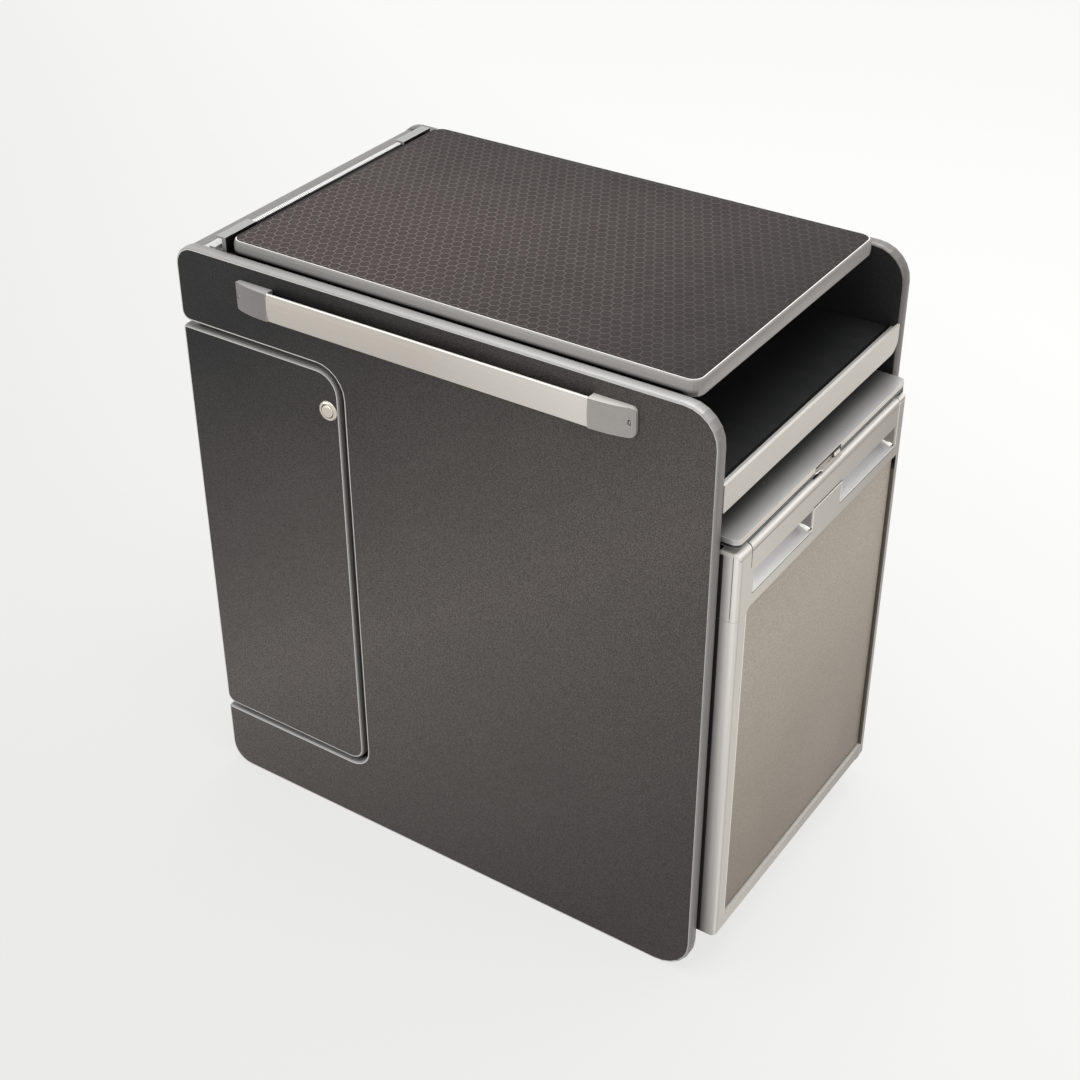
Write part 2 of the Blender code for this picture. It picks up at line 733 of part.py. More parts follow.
def edged_board(name, axis, corners, start, end, finish, pivot=None):
    """Board and the edging round it, as two pieces."""
    core = prism_mesh(axis, [rounded(inset(corners, EDGING_DEPTH + SEAT))], start, end)
    board = add(name, core, finish, pivot)
    strip = edging_mesh(axis, corners, (start + end) / 2, end - start, CORNER_STEPS)
    edging = add(name + "_edging", strip, EDGING, pivot)
    return board, edging


def front_panel():
    edged_board("front_panel", "Y", panel_corners(True), 0, BOARD, LAMINATE)


def back_panel():
    edged_board("back_panel", "Y", panel_corners(False), BACK_FACE, POD_WIDTH, LAMINATE)


def end_panel():
    """Left end board, set in from the long panels' ends, with housings for the locker hinges."""
    core = box_mesh((END_INSET, INNER_FRONT, 0), (END_RIGHT, INNER_BACK, END_TOP - EDGING_DEPTH - SEAT))
    board = add("end_panel", core, LAMINATE)
    for k, low in enumerate((BUTT_LOW, BUTT_HIGH)):
        rebate = box_mesh(
            (END_INSET - OVERRUN, 0, low - BUTT_PLAY),
            (END_RIGHT + OVERRUN, BOARD + BUTT_REBATE, low + BUTT_HEIGHT + BUTT_PLAY),
        )
        cut(board, rebate, f"hinge_housing_{k + 1}")
    middle = END_INSET + BOARD / 2
    low = END_TOP - EDGING_DEPTH
    bow = [(middle + across * BOARD / 2, low + out * EDGING_DEPTH) for out, across in EDGING_SHARES]
    strip = prism_mesh("Y", [bow], INNER_FRONT, INNER_BACK)
    add("end_panel_edging", strip, EDGING)


def inner_boards():
    """Base, partition, shelf and the two battens under the lid."""
    base_front = POD_LENGTH - BASE_SETBACK
    left = END_RIGHT + SEAT
    shelf_front = LIP_FRONT - LIP_THICKNESS - SEAT
    sizes = {
        "base_panel": ((left, INNER_FRONT, PLINTH), (base_front, INNER_BACK, BASE_TOP)),
        "partition": (
            (PARTITION_LEFT, INNER_FRONT, BASE_TOP + SEAT),
            (PARTITION_LEFT + BOARD, INNER_BACK, SHELF_BOTTOM - SEAT),
        ),
        "shelf": ((left, INNER_FRONT, SHELF_BOTTOM), (shelf_front, INNER_BACK, SHELF_TOP)),
        "lid_rest_front": (
            (BLOCK_RIGHT + SEAT, INNER_FRONT, LID_BOTTOM - REST_HEIGHT - SEAT),
            (REST_END, INNER_FRONT + REST_WIDTH, LID_BOTTOM - SEAT),
        ),
        "lid_rest_back": (
            (BLOCK_RIGHT + SEAT, INNER_BACK - REST_WIDTH, LID_BOTTOM - REST_HEIGHT - SEAT),
            (REST_END, INNER_BACK, LID_BOTTOM - SEAT),
        ),
    }
    for name, (low, high) in sizes.items():
        add(name, box_mesh(low, high), INNER_LAMINATE)


def shelf_lip():
    """Aluminium lip in front of the shelf: an upright strip with a flange that lies on the shelf."""
    left = BOARD + LIP_SIDE_GAP
    right = BACK_FACE - LIP_SIDE_GAP
    low = LIP_TOP - LIP_HEIGHT
    corners = [
        (left, low, LIP_NEAR_RADIUS),
        (right, low, LIP_RADIUS),
        (right, LIP_TOP, 0),
        (left, LIP_TOP, 0),
    ]
    upright = prism_mesh("X", [rounded(corners)], LIP_FRONT - LIP_THICKNESS, LIP_FRONT)
    lip = add("shelf_lip", upright, ANODISED)
    flange_low = SHELF_TOP + SEAT
    flange = box_mesh(
        (LIP_FRONT - LIP_THICKNESS - LIP_FLANGE, left, flange_low),
        (LIP_FRONT - LIP_THICKNESS / 2, right, flange_low + LIP_FLANGE_THICKNESS),
    )
    join(lip, flange, "lip_flange")


def lid():
    pivot = (HINGE_X, POD_WIDTH / 2, HINGE_Z)
    corners = rectangle(LID_LEFT, LID_FRONT, LID_RIGHT, LID_BACK, LID_RADIUS)
    outline = rounded(inset(corners, EDGING_DEPTH + SEAT))
    core = prism_mesh("Z", [outline], LID_BOTTOM, LID_TOP - LID_SHEET - SEAT)
    add("lid_board", core, INNER_LAMINATE, pivot)
    strip = edging_mesh("Z", corners, (LID_BOTTOM + LID_TOP) / 2, LID_THICKNESS, CORNER_STEPS)
    add("lid_edging", strip, EDGING, pivot)
    sheet = prism_mesh("Z", [outline], LID_TOP - LID_SHEET, LID_TOP)
    add("lid_top_sheet", sheet, LID_FILM, pivot)


def knuckle_bounds():
    """Start and end of each knuckle along the lid hinge."""
    start = BLOCK_FRONT + BLOCK_LENGTH + HINGE_END_GAP
    end = BLOCK_BACK - BACK_BLOCK_LENGTH - HINGE_END_GAP
    pitch = (end - start) / KNUCKLE_COUNT
    spans = []
    for k in range(KNUCKLE_COUNT):
        spans.append((start + pitch * k + KNUCKLE_PLAY / 2, start + pitch * (k + 1) - KNUCKLE_PLAY / 2))
    return spans


def hinge_rod(start, end, radius):
    """Round along the lid hinge's axis."""
    return rod_mesh("Y", (HINGE_X, start, HINGE_Z), radius, end - start, TUBE_STEPS)


def lid_hinge_profile(spans):
    """Fixed extrusion along the end panel, with every other knuckle."""
    left = END_RIGHT + SEAT
    slot_left = HINGE_BAR_LEFT - HINGE_SLOT
    section = [
        (left, HINGE_BOTTOM),
        (HINGE_BAR_RIGHT, HINGE_BOTTOM),
        (HINGE_BAR_RIGHT, HINGE_BAR_TOP),
        (HINGE_BAR_LEFT, HINGE_BAR_TOP),
        (HINGE_BAR_LEFT, HINGE_BOTTOM + HINGE_WEB),
        (slot_left, HINGE_BOTTOM + HINGE_WEB),
        (slot_left, HINGE_FLANGE_TOP),
        (left, HINGE_FLANGE_TOP),
    ]
    bar = prism_mesh("Y", [section], INNER_FRONT + SEAT, INNER_BACK - SEAT)
    profile = add("lid_hinge_profile", bar, BRIGHT)
    for k, (start, end) in enumerate(spans[::2]):
        web = box_mesh(
            (HINGE_BAR_RIGHT - HINGE_WEB, start, HINGE_BAR_TOP - HINGE_WEB / 2),
            (HINGE_X - PIN_RADIUS, end, HINGE_Z),
        )
        join(profile, web, f"profile_web_{k + 1}")
        join(profile, hinge_rod(start, end, KNUCKLE_RADIUS), f"profile_knuckle_{k + 1}")
    bore = hinge_rod(spans[0][0] - HINGE_END_GAP, spans[-1][1] + HINGE_END_GAP, PIN_RADIUS + PIN_PLAY)
    cut(profile, bore, "profile_bore")


def lid_hinge_leaf(spans):
    """The lid's leaf, with the knuckles between the fixed ones."""
    first, last = spans[1][0], spans[-2][1]
    right = LID_LEFT - SEAT
    plate = box_mesh(
        (right - LEAF_PLATE, first, HINGE_Z - LEAF_BELOW),
        (right, last, HINGE_Z + LEAF_ABOVE),
    )
    leaf = add("lid_hinge_leaf", plate, BRIGHT, (HINGE_X, POD_WIDTH / 2, HINGE_Z))
    for k, (start, end) in enumerate(spans[1::2]):
        bridge = box_mesh(
            (HINGE_X + PIN_RADIUS, start, HINGE_Z - LEAF_BRIDGE / 2),
            (right - LEAF_PLATE / 2, end, HINGE_Z + LEAF_BRIDGE / 2),
        )
        join(leaf, bridge, f"leaf_bridge_{k + 1}")
        join(leaf, hinge_rod(start, end, KNUCKLE_RADIUS), f"leaf_knuckle_{k + 1}")
    bore = hinge_rod(first - HINGE_END_GAP, last + HINGE_END_GAP, PIN_RADIUS + PIN_PLAY)
    cut(leaf, bore, "leaf_bore")


def lid_hinge():
    """Piano hinge between the two end blocks: profile, pin and leaf."""
    spans = knuckle_bounds()
    lid_hinge_profile(spans)
    pin = hinge_rod(spans[0][0] - HINGE_END_GAP / 2, spans[-1][1] + HINGE_END_GAP / 2, PIN_RADIUS)
    add("lid_hinge_pin", pin, STEEL)
    lid_hinge_leaf(spans)


def hinge_blocks():
    """Full-height blocks at both ends of the hinge; each arches over the hinge profile."""
    section = [
        (HINGE_BAR_RIGHT + SEAT, HINGE_BOTTOM),
        (BLOCK_RIGHT, HINGE_BOTTOM),
        (BLOCK_RIGHT, LID_TOP),
        (BLOCK_LEFT, LID_TOP),
        (BLOCK_LEFT, LID_TOP - BLOCK_ROOF),
        (BLOCK_RIGHT - BLOCK_WALL, LID_TOP - BLOCK_ROOF),
        (BLOCK_RIGHT - BLOCK_WALL, BLOCK_FOOT_TOP),
        (HINGE_BAR_RIGHT + SEAT, BLOCK_FOOT_TOP),
    ]
    front = (BLOCK_FRONT, BLOCK_FRONT + BLOCK_LENGTH)
    back = (BLOCK_BACK - BACK_BLOCK_LENGTH, BLOCK_BACK)
    for name, (start, end) in {"hinge_block_front": front, "hinge_block_back": back}.items():
        add(name, prism_mesh("Y", [section], start, end), EDGING)


def rail_bar(left, right):
    """Bar with a slightly bowed face."""
    top = RAIL_TOP
    middle = RAIL_BOTTOM + RAIL_HEIGHT / 2
    back = RAIL_THICKNESS - RAIL_REACH
    edge = RAIL_BOW - RAIL_REACH
    near_face = RAIL_BOW / 4 - RAIL_REACH
    section = [
        (back, RAIL_BOTTOM),
        (back, top),
        (edge + RAIL_BOW, top),
        (edge, top - RAIL_BOW),
        (near_face, (top + middle) / 2),
        (-RAIL_REACH, middle),
        (near_face, (RAIL_BOTTOM + middle) / 2),
        (edge, RAIL_BOTTOM + RAIL_BOW),
        (edge + RAIL_BOW, RAIL_BOTTOM),
    ]
    add("rail_bar", prism_mesh("X", [section], left, right), ANODISED)


def rail_cap(side, outer, inner):
    """End piece that curves from the panel out to the bar, with a slot for its screw."""
    top = RAIL_TOP
    middle = RAIL_BOTTOM + RAIL_HEIGHT / 2
    span = inner - outer
    reach = RAIL_REACH - SEAT
    plan = [(outer + share * span, -SEAT - out * reach) for share, out in RAIL_CAP_SHARES]
    cap = add(f"rail_cap_{side}", prism_mesh("Z", [plan], RAIL_BOTTOM, top), CAP_PLASTIC)
    low, high = min(outer, inner), max(outer, inner)
    low_radius, high_radius = (RAIL_CAP_RADIUS, 0) if outer < inner else (0, RAIL_CAP_RADIUS)
    face = [
        (low, RAIL_BOTTOM, low_radius),
        (high, RAIL_BOTTOM, high_radius),
        (high, top, high_radius),
        (low, top, low_radius),
    ]
    outline = prism_mesh("Y", [rounded(face, SMALL_STEPS)], -RAIL_REACH - OVERRUN, OVERRUN)
    combine(cap, outline, "INTERSECT", f"cap_outline_{side}")
    centre = outer + math.copysign(RAIL_SLOT_INSET, span)
    half_width, half_height = RAIL_SLOT_WIDTH / 2, RAIL_SLOT_HEIGHT / 2
    low_corner = (centre - half_width, middle - half_height)
    high_corner = (centre + half_width, middle + half_height)
    slot = rectangle(*low_corner, *high_corner, half_width - WELD)
    hole = prism_mesh("Y", [rounded(slot, SMALL_STEPS)], -RAIL_REACH - OVERRUN, -RAIL_SLOT_FLOOR)
    cut(cap, hole, f"cap_slot_{side}")


def grab_rail():
    """Bar between two caps, on the front panel."""
    bar_left = RAIL_LEFT + RAIL_CAP
    bar_right = RAIL_RIGHT - RAIL_CAP
    rail_bar(bar_left + SEAT, bar_right - SEAT)
    rail_cap("left", RAIL_LEFT, bar_left)
    rail_cap("right", RAIL_RIGHT, bar_right)


def locker_door():
    pivot = (BUTT_X, BUTT_Y, (DOOR_BOTTOM + DOOR_TOP) / 2)
    corners = [
        (0, DOOR_BOTTOM, DOOR_HEEL_RADIUS),
        (DOOR_WIDTH, DOOR_BOTTOM, DOOR_BOTTOM_RADIUS),
        (DOOR_WIDTH, DOOR_TOP, DOOR_TOP_RADIUS),
        (0, DOOR_TOP, DOOR_TIP_RADIUS),
    ]
    board, edging = edged_board("locker_door", "Y", corners, 0, BOARD, LAMINATE, pivot)
    bore = rod_mesh("Y", (LOCK_X, -OVERRUN, LOCK_Z), ROSETTE_BORE, BOARD + 2 * OVERRUN, ROUND_STEPS)
    cut(board, bore, "lock_bore")


def lathe_shares(radius, height, shares):
    """Profile of a turned shape from shares of its radius and height."""
    return [(radius * across, height * along) for across, along in shares]


def lock_front(pivot):
    """Rosette on the door's face and the button that moves in it."""
    ring = [(ROSETTE_BORE, SEAT), (ROSETTE_RADIUS, SEAT)]
    width = ROSETTE_RADIUS - ROSETTE_BORE
    ring += [(ROSETTE_BORE + width * across, ROSETTE_HEIGHT * along) for across, along in ROSETTE_SHARES]
    rosette = lathe_mesh("Y", (LOCK_X, 0, LOCK_Z), ring, ROUND_STEPS, closed=True)
    add("lock_rosette", rosette, NICKEL, pivot)
    knob = [(0, -BUTTON_TAIL), (BUTTON_RADIUS, -BUTTON_TAIL)]
    knob += lathe_shares(BUTTON_RADIUS, BUTTON_PROUD, BUTTON_SHARES)
    button = lathe_mesh("Y", (LOCK_X, 0, LOCK_Z), knob, ROUND_STEPS)
    add("lock_button", button, NICKEL, (LOCK_X, 0, LOCK_Z))


def lock_back(pivot):
    """Case behind the door with the bolt in its pocket, and the strike on the panel."""
    low = LOCK_Z - LOCK_CASE_HEIGHT / 2
    face = BOARD + SEAT
    back = face + LOCK_CASE_DEPTH
    case = box_mesh((LOCK_CASE_LEFT, face, low), (LOCK_CASE_RIGHT, back, low + LOCK_CASE_HEIGHT))
    body = add("lock_case", case, DARK_PLASTIC, pivot)
    bolt_y = face + LOCK_CASE_DEPTH / 2
    bolt_left = BOLT_TIP - BOLT_LENGTH
    front, rear = bolt_y - BOLT_WIDTH / 2, bolt_y + BOLT_WIDTH / 2
    bottom, top = LOCK_Z - BOLT_HEIGHT / 2, LOCK_Z + BOLT_HEIGHT / 2
    pocket = box_mesh(
        (bolt_left - BOLT_THROW - BOLT_PLAY, front - BOLT_PLAY, bottom - BOLT_PLAY),
        (LOCK_CASE_RIGHT + OVERRUN, rear + BOLT_PLAY, top + BOLT_PLAY),
    )
    cut(body, pocket, "bolt_pocket")
    outline = [
        (bolt_left, front),
        (BOLT_TIP, front),
        (BOLT_TIP, bolt_y),
        (BOLT_TIP - BOLT_SLOPE, rear),
        (bolt_left, rear),
    ]
    add("lock_bolt", prism_mesh("Z", [outline], bottom, top), STEEL, (BOLT_TIP, bolt_y, LOCK_Z))
    left = NOTCH_WIDTH + SEAT
    half = STRIKE_HEIGHT / 2
    strike = rectangle(left, LOCK_Z - half, left + STRIKE_LENGTH, LOCK_Z + half, STRIKE_THICKNESS)
    plate = prism_mesh("Y", [rounded(strike, SMALL_STEPS)], face, face + STRIKE_THICKNESS)
    add("lock_strike", plate, STEEL)


def push_lock():
    pivot = (BUTT_X, BUTT_Y, LOCK_Z)
    lock_front(pivot)
    lock_back(pivot)


def butt_rod(low, high, radius):
    """Round along the locker hinges' axis."""
    return rod_mesh("Z", (BUTT_X, BUTT_Y, low), radius, high - low, TUBE_STEPS)


def butt_hinge(side, low):
    """Butt hinge: the fixed leaf carries the outer knuckles and the pin, the door's leaf the middle one."""
    high = low + BUTT_HEIGHT
    third = BUTT_HEIGHT / 3
    room_radius = BUTT_RADIUS + BUTT_ROOM
    right = END_INSET - SEAT
    leaf = box_mesh((right - BUTT_LEAF, BUTT_Y, low), (right, BUTT_Y + BUTT_FIXED_REACH, high))
    fixed = add(f"locker_hinge_{side}_fixed", leaf, STEEL)
    join(fixed, butt_rod(low, high, BUTT_RADIUS), f"fixed_knuckle_{side}")
    middle_low, middle_high = low + third, high - third
    cut(fixed, butt_rod(middle_low - BUTT_PLAY, middle_high + BUTT_PLAY, room_radius), f"knuckle_room_{side}")
    join(fixed, butt_rod(low + third / 2, high - third / 2, BUTT_PIN), f"fixed_pin_{side}")

    face = BOARD + SEAT
    plate = box_mesh((BUTT_X, face, low), (BUTT_X + BUTT_MOVING_REACH, face + BUTT_LEAF, high))
    moving = add(f"locker_hinge_{side}_leaf", plate, STEEL, (BUTT_X, BUTT_Y, (low + high) / 2))
    cut(moving, butt_rod(low - BUTT_PLAY, middle_low + BUTT_PLAY, room_radius), f"leaf_room_{side}_1")
    cut(moving, butt_rod(middle_high - BUTT_PLAY, high + BUTT_PLAY, room_radius), f"leaf_room_{side}_2")
    middle = butt_rod(middle_low + BUTT_PLAY, middle_high - BUTT_PLAY, BUTT_RADIUS)
    join(moving, middle, f"leaf_knuckle_{side}")
    cut(moving, butt_rod(low, high, BUTT_PIN + PIN_PLAY), f"leaf_bore_{side}")


def locker_hinges():
    butt_hinge("bottom", BUTT_LOW)
    butt_hinge("top", BUTT_HIGH)


def cavity_outline(margin):
    """Side view of the fridge's inner room, smaller all round by the margin; open at the front."""
    front = CABINET_FRONT + OVERRUN
    return [
        (LINER_REAR + margin, LINER_STEP_TOP + margin),
        (LINER_STEP_REAR + margin, LINER_STEP_TOP + margin),
        (LINER_STEP_REAR + margin, LINER_FLOOR + margin),
        (front, LINER_FLOOR + margin),
        (front, LINER_ROOF - margin),
        (LINER_REAR + margin, LINER_ROOF - margin),
    ]


def fridge_cabinet():
    """Insulated box with the recess for the compressor low at the back, and the white liner inside it."""
    left, right = FRIDGE_LEFT + LINER_SIDE, FRIDGE_RIGHT - LINER_SIDE
    outer = [
        (RECESS_FRONT, CABINET_BOTTOM),
        (CABINET_FRONT, CABINET_BOTTOM),
        (CABINET_FRONT, CABINET_TOP),
        (FRIDGE_BACK, CABINET_TOP),
        (FRIDGE_BACK, RECESS_TOP),
        (RECESS_FRONT, RECESS_TOP),
    ]
    cabinet = add("fridge_cabinet", prism_mesh("Y", [outer], FRIDGE_LEFT, FRIDGE_RIGHT), CABINET_PAINT)
    cut(cabinet, prism_mesh("Y", [cavity_outline(0)], left, right), "cabinet_cavity")
    shell = prism_mesh("Y", [cavity_outline(SEAT)], left + SEAT, right - SEAT)
    liner = add("fridge_liner", shell, WHITE_LINER)
    rim_back = CABINET_FRONT + SEAT
    trim = box_mesh((rim_back + LINER_RIM, 0, 0), (rim_back + LINER_RIM + 2 * OVERRUN, POD_WIDTH, POD_HEIGHT))
    cut(liner, trim, "liner_trim")
    edge = LINER_RIM_EDGE
    rim = box_mesh(
        (rim_back, FRIDGE_LEFT + edge, CABINET_BOTTOM + edge * 2),
        (rim_back + LINER_RIM, FRIDGE_RIGHT - edge, CABINET_TOP - edge * 2),
    )
    join(liner, rim, "liner_rim")
    wall = SEAT + LINER_WALL
    cut(liner, prism_mesh("Y", [cavity_outline(wall)], left + wall, right - wall), "liner_room")
    for side, y in (("left", left + wall - LINER_WALL / 2), ("right", right - wall + LINER_WALL / 2)):
        for name, top in (("lower", LOWER_SHELF), ("upper", UPPER_SHELF)):
            inner = y + math.copysign(LEDGE_WIDTH, POD_WIDTH / 2 - y)
            ledge = box_mesh(
                (WIRE_SHELF_REAR, min(y, inner), top - LEDGE_HEIGHT - SEAT),
                (WIRE_SHELF_FRONT, max(y, inner), top - SEAT),
            )
            join(liner, ledge, f"ledge_{name}_{side}")


def fridge_top():
    """Plate over the cabinet and door, with the latch let into its front edge."""
    corners = [
        (FRIDGE_BACK, FRIDGE_LEFT, 0),
        (PLATE_FRONT, FRIDGE_LEFT, PLATE_RADIUS),
        (PLATE_FRONT, FRIDGE_RIGHT, PLATE_RADIUS),
        (FRIDGE_BACK, FRIDGE_RIGHT, 0),
    ]
    shape = prism_mesh("Z", [rounded(corners)], PLATE_BOTTOM, PLATE_TOP)
    plate = add("fridge_top_plate", shape, FRIDGE_PLATE)
    room = box_mesh(
        (LATCH_BACK, LATCH_LEFT - LATCH_CLEAR, LATCH_BOTTOM - OVERRUN),
        (PLATE_FRONT + OVERRUN, LATCH_RIGHT + LATCH_CLEAR, LATCH_TOP + LATCH_CLEAR),
    )
    cut(plate, room, "latch_room")
    latch()


def latch():
    """Sloped latch body with a mouth at one end and an oval button in a slot."""
    back = LATCH_BACK + SEAT
    section = [
        (back, LATCH_BOTTOM),
        (LATCH_FRONT, LATCH_BOTTOM),
        (LATCH_FRONT - LATCH_SLOPE / 4, LATCH_BOTTOM + LATCH_SLOPE),
        (LATCH_FRONT - LATCH_SLOPE, LATCH_TOP),
        (back, LATCH_TOP),
    ]
    body = add("fridge_latch_body", prism_mesh("Y", [section], LATCH_LEFT, LATCH_RIGHT), FRIDGE_SILVER)
    mouth = box_mesh(
        (LATCH_BACK, LATCH_LEFT - OVERRUN, LATCH_BOTTOM - OVERRUN),
        (LATCH_FRONT + OVERRUN, LATCH_LEFT + LATCH_HOOK, LATCH_BOTTOM + LATCH_MOUTH),
    )
    cut(body, mouth, "latch_mouth")
    middle = (LATCH_BOTTOM + LATCH_SLOPE + LATCH_TOP) / 2
    face = LATCH_FRONT - LATCH_SLOPE / 2
    knob_right = LATCH_RIGHT - KNOB_INSET
    knob_left = knob_right - KNOB_LENGTH
    low, high = middle - KNOB_HEIGHT / 2, middle + KNOB_HEIGHT / 2
    slot = box_mesh(
        (face - KNOB_SLOT_DEPTH - LATCH_CLEAR, knob_left - KNOB_TRAVEL, low - LATCH_CLEAR),
        (LATCH_FRONT + OVERRUN, knob_right + LATCH_CLEAR, high + LATCH_CLEAR),
    )
    cut(body, slot, "latch_slot")
    oval = rectangle(knob_left, low, knob_right, high, KNOB_HEIGHT / 2 - WELD)
    knob = prism_mesh("X", [rounded(oval, SMALL_STEPS)], face - KNOB_SLOT_DEPTH, face + KNOB_PROUD)
    add("fridge_latch_button", knob, FRIDGE_SILVER, (face, (knob_left + knob_right) / 2, middle))


def door_pivot(height):
    return (PIVOT_X, PIVOT_Y, height)


def pivot_hole(target, start, name):
    """Bore for a hinge pin in a piece of the fridge door."""
    radius = PIVOT_RADIUS + PIVOT_PLAY
    cut(target, rod_mesh("Z", (PIVOT_X, PIVOT_Y, start), radius, PIVOT_DEPTH * 2, TUBE_STEPS), name)


def fridge_door_front():
    """Frame of stiles and sill, insulated core, the insert panel, and the top moulding with its band."""
    pivot = door_pivot((FRIDGE_DOOR_BOTTOM + FRIDGE_DOOR_TOP) / 2)
    left, right = FRIDGE_LEFT, FRIDGE_RIGHT
    inner_left, inner_right = left + STILE_LEFT, right - STILE_RIGHT
    sill_top = FRIDGE_DOOR_BOTTOM + SILL
    frame_top = HEAD_BOTTOM - SEAT
    frame_outline = [
        (left, FRIDGE_DOOR_BOTTOM),
        (right, FRIDGE_DOOR_BOTTOM),
        (right, frame_top),
        (inner_right, frame_top),
        (inner_right, sill_top),
        (inner_left, sill_top),
        (inner_left, frame_top),
        (left, frame_top),
    ]
    shape = prism_mesh("X", [frame_outline], DOOR_BACK, FRIDGE_FRONT)
    frame = add("fridge_door_frame", shape, FRIDGE_SILVER, pivot)
    plan = door_plan()
    combine(frame, prism_mesh("Z", [plan], 0, POD_HEIGHT), "INTERSECT", "frame_plan")
    pivot_hole(frame, FRIDGE_DOOR_BOTTOM - PIVOT_DEPTH, "frame_bore")

    core = box_mesh(
        (DOOR_BACK, inner_left + SEAT, sill_top + SEAT),
        (INSERT_BACK - SEAT, inner_right - SEAT, HEAD_BOTTOM - SEAT),
    )
    add("fridge_door_core", core, WHITE_LINER, pivot)
    corner = INSERT_RADIUS
    u0, u1 = inner_left + SEAT, inner_right - INSERT_RIGHT_GAP
    v0, v1 = sill_top + INSERT_BOTTOM_GAP, INSERT_TOP - SEAT
    outline = rounded([(u0, v0, 0), (u1, v0, 0), (u1, v1, 0), (u0, v1, corner)], SMALL_STEPS)
    panel = prism_mesh("X", [outline], INSERT_BACK, INSERT_BACK + INSERT_THICKNESS)
    add("fridge_door_insert", panel, FRIDGE_PANEL, pivot)
    moulding(pivot, inner_left, inner_right)


def door_plan():
    """Plan of the fridge door with its two front corners rounded."""
    corners = [
        (DOOR_BACK, FRIDGE_LEFT, 0),
        (FRIDGE_FRONT, FRIDGE_LEFT, FRAME_LEFT_RADIUS),
        (FRIDGE_FRONT, FRIDGE_RIGHT, FRAME_RIGHT_RADIUS),
        (DOOR_BACK, FRIDGE_RIGHT, 0),
    ]
    return rounded(corners)


def crown_section(back, bottom):
    """Side view of the door's round-topped head, from a back face and a bottom."""
    section = [(back, bottom), (FRIDGE_FRONT, bottom)]
    for inward, down in CROWN_SHARES:
        section.append((FRIDGE_FRONT - inward * BAND_ROUND, FRIDGE_DOOR_TOP - down * BAND_ROUND))
    section.append((back, FRIDGE_DOOR_TOP))
    return section


def grip_section():
    """Side view of a grip: a scoop that runs down to the front, with room for fingertips behind the band."""
    mouth = FRIDGE_FRONT + GRIP_LIP
    depth = FRIDGE_FRONT - GRIP_BACK
    scoop = [(FRIDGE_FRONT - depth * across, GRIP_BOTTOM + GRIP_HEIGHT * up) for across, up in GRIP_SHARES]
    roof = BAND_BOTTOM + GRIP_UPWARD
    behind = GRIP_BACK - OVERRUN
    return [(behind, BAND_BOTTOM)] + scoop + [
        (mouth, GRIP_BOTTOM - GRIP_LIP),
        (FRIDGE_FRONT + OVERRUN, GRIP_BOTTOM - GRIP_LIP),
        (FRIDGE_FRONT + OVERRUN, BAND_BOTTOM + SEAT),
        (BAND_BACK - SEAT, BAND_BOTTOM + SEAT),
        (BAND_BACK - SEAT, roof),
        (behind, roof),
    ]


def moulding(pivot, inner_left, inner_right):
    """Head of the fridge door: a bar with two scooped grips, the plate behind it and the band let into it.

    A fine seam down the left side marks off the corner cap.
    """
    low = (DOOR_BACK, FRIDGE_LEFT, HEAD_BOTTOM)
    high = (GRIP_BACK - SEAT, FRIDGE_RIGHT, FRIDGE_DOOR_TOP)
    add("fridge_door_plate", box_mesh(low, high), FRIDGE_SILVER, pivot)
    head = prism_mesh("Y", [crown_section(GRIP_BACK, HEAD_BOTTOM)], FRIDGE_LEFT, FRIDGE_RIGHT)
    bar = add("fridge_door_top", head, FRIDGE_SILVER, pivot)
    combine(bar, prism_mesh("Z", [door_plan()], 0, POD_HEIGHT), "INTERSECT", "bar_plan")
    room = box_mesh((BAND_BACK, BAND_LEFT, BAND_BOTTOM), (FRIDGE_FRONT + OVERRUN, BAND_RIGHT, POD_HEIGHT))
    cut(bar, room, "band_room")
    under = [
        (inner_left, HEAD_BOTTOM - OVERRUN, 0),
        (inner_right - SEAT, HEAD_BOTTOM - OVERRUN, 0),
        (inner_right - SEAT, INSERT_TOP, 0),
        (inner_left, INSERT_TOP, INSERT_RADIUS + SEAT),
    ]
    hollow = prism_mesh("X", [rounded(under, SMALL_STEPS)], INSERT_BACK, FRIDGE_FRONT + OVERRUN)
    cut(bar, hollow, "insert_room")
    seam_front = FRIDGE_FRONT - CAP_SEAM_SETBACK
    seam = box_mesh(
        (seam_front - CAP_SEAM_WIDTH, FRIDGE_LEFT - OVERRUN, HEAD_BOTTOM - OVERRUN),
        (seam_front, FRIDGE_LEFT + CAP_SEAM_DEPTH, POD_HEIGHT),
    )
    cut(bar, seam, "cap_seam")
    middle = (BAND_LEFT + BAND_RIGHT) / 2
    spans = {
        "left": (BAND_LEFT + GRIP_LEFT_INSET, middle - GRIP_PLATE / 2),
        "right": (middle + GRIP_PLATE / 2, BAND_RIGHT - GRIP_RIGHT_INSET),
    }
    for side, (start, end) in spans.items():
        pocket = prism_mesh("Y", [grip_section()], start, end)
        for vertex in pocket.vertices:
            if vertex.co.y > (start + end) / 2 and vertex.co.x < BAND_BACK:
                vertex.co.y -= GRIP_SLANT
        cut(bar, pocket, f"grip_{side}")
    pivot_hole(bar, FRIDGE_DOOR_TOP - PIVOT_DEPTH, "bar_bore")
    outline = crown_section(BAND_BACK + SEAT, BAND_BOTTOM + SEAT)
    face = prism_mesh("Y", [outline], BAND_LEFT + SEAT, BAND_RIGHT - SEAT)
    band = add("fridge_door_band", face, FRIDGE_SILVER, pivot)
    line = FRIDGE_DOOR_TOP - BAND_GROOVE_DROP
    groove = box_mesh(
        (FRIDGE_FRONT - BAND_GROOVE, BAND_LEFT - OVERRUN, line - BAND_GROOVE),
        (FRIDGE_FRONT + OVERRUN, BAND_RIGHT + OVERRUN, line),
    )
    cut(band, groove, "band_groove")


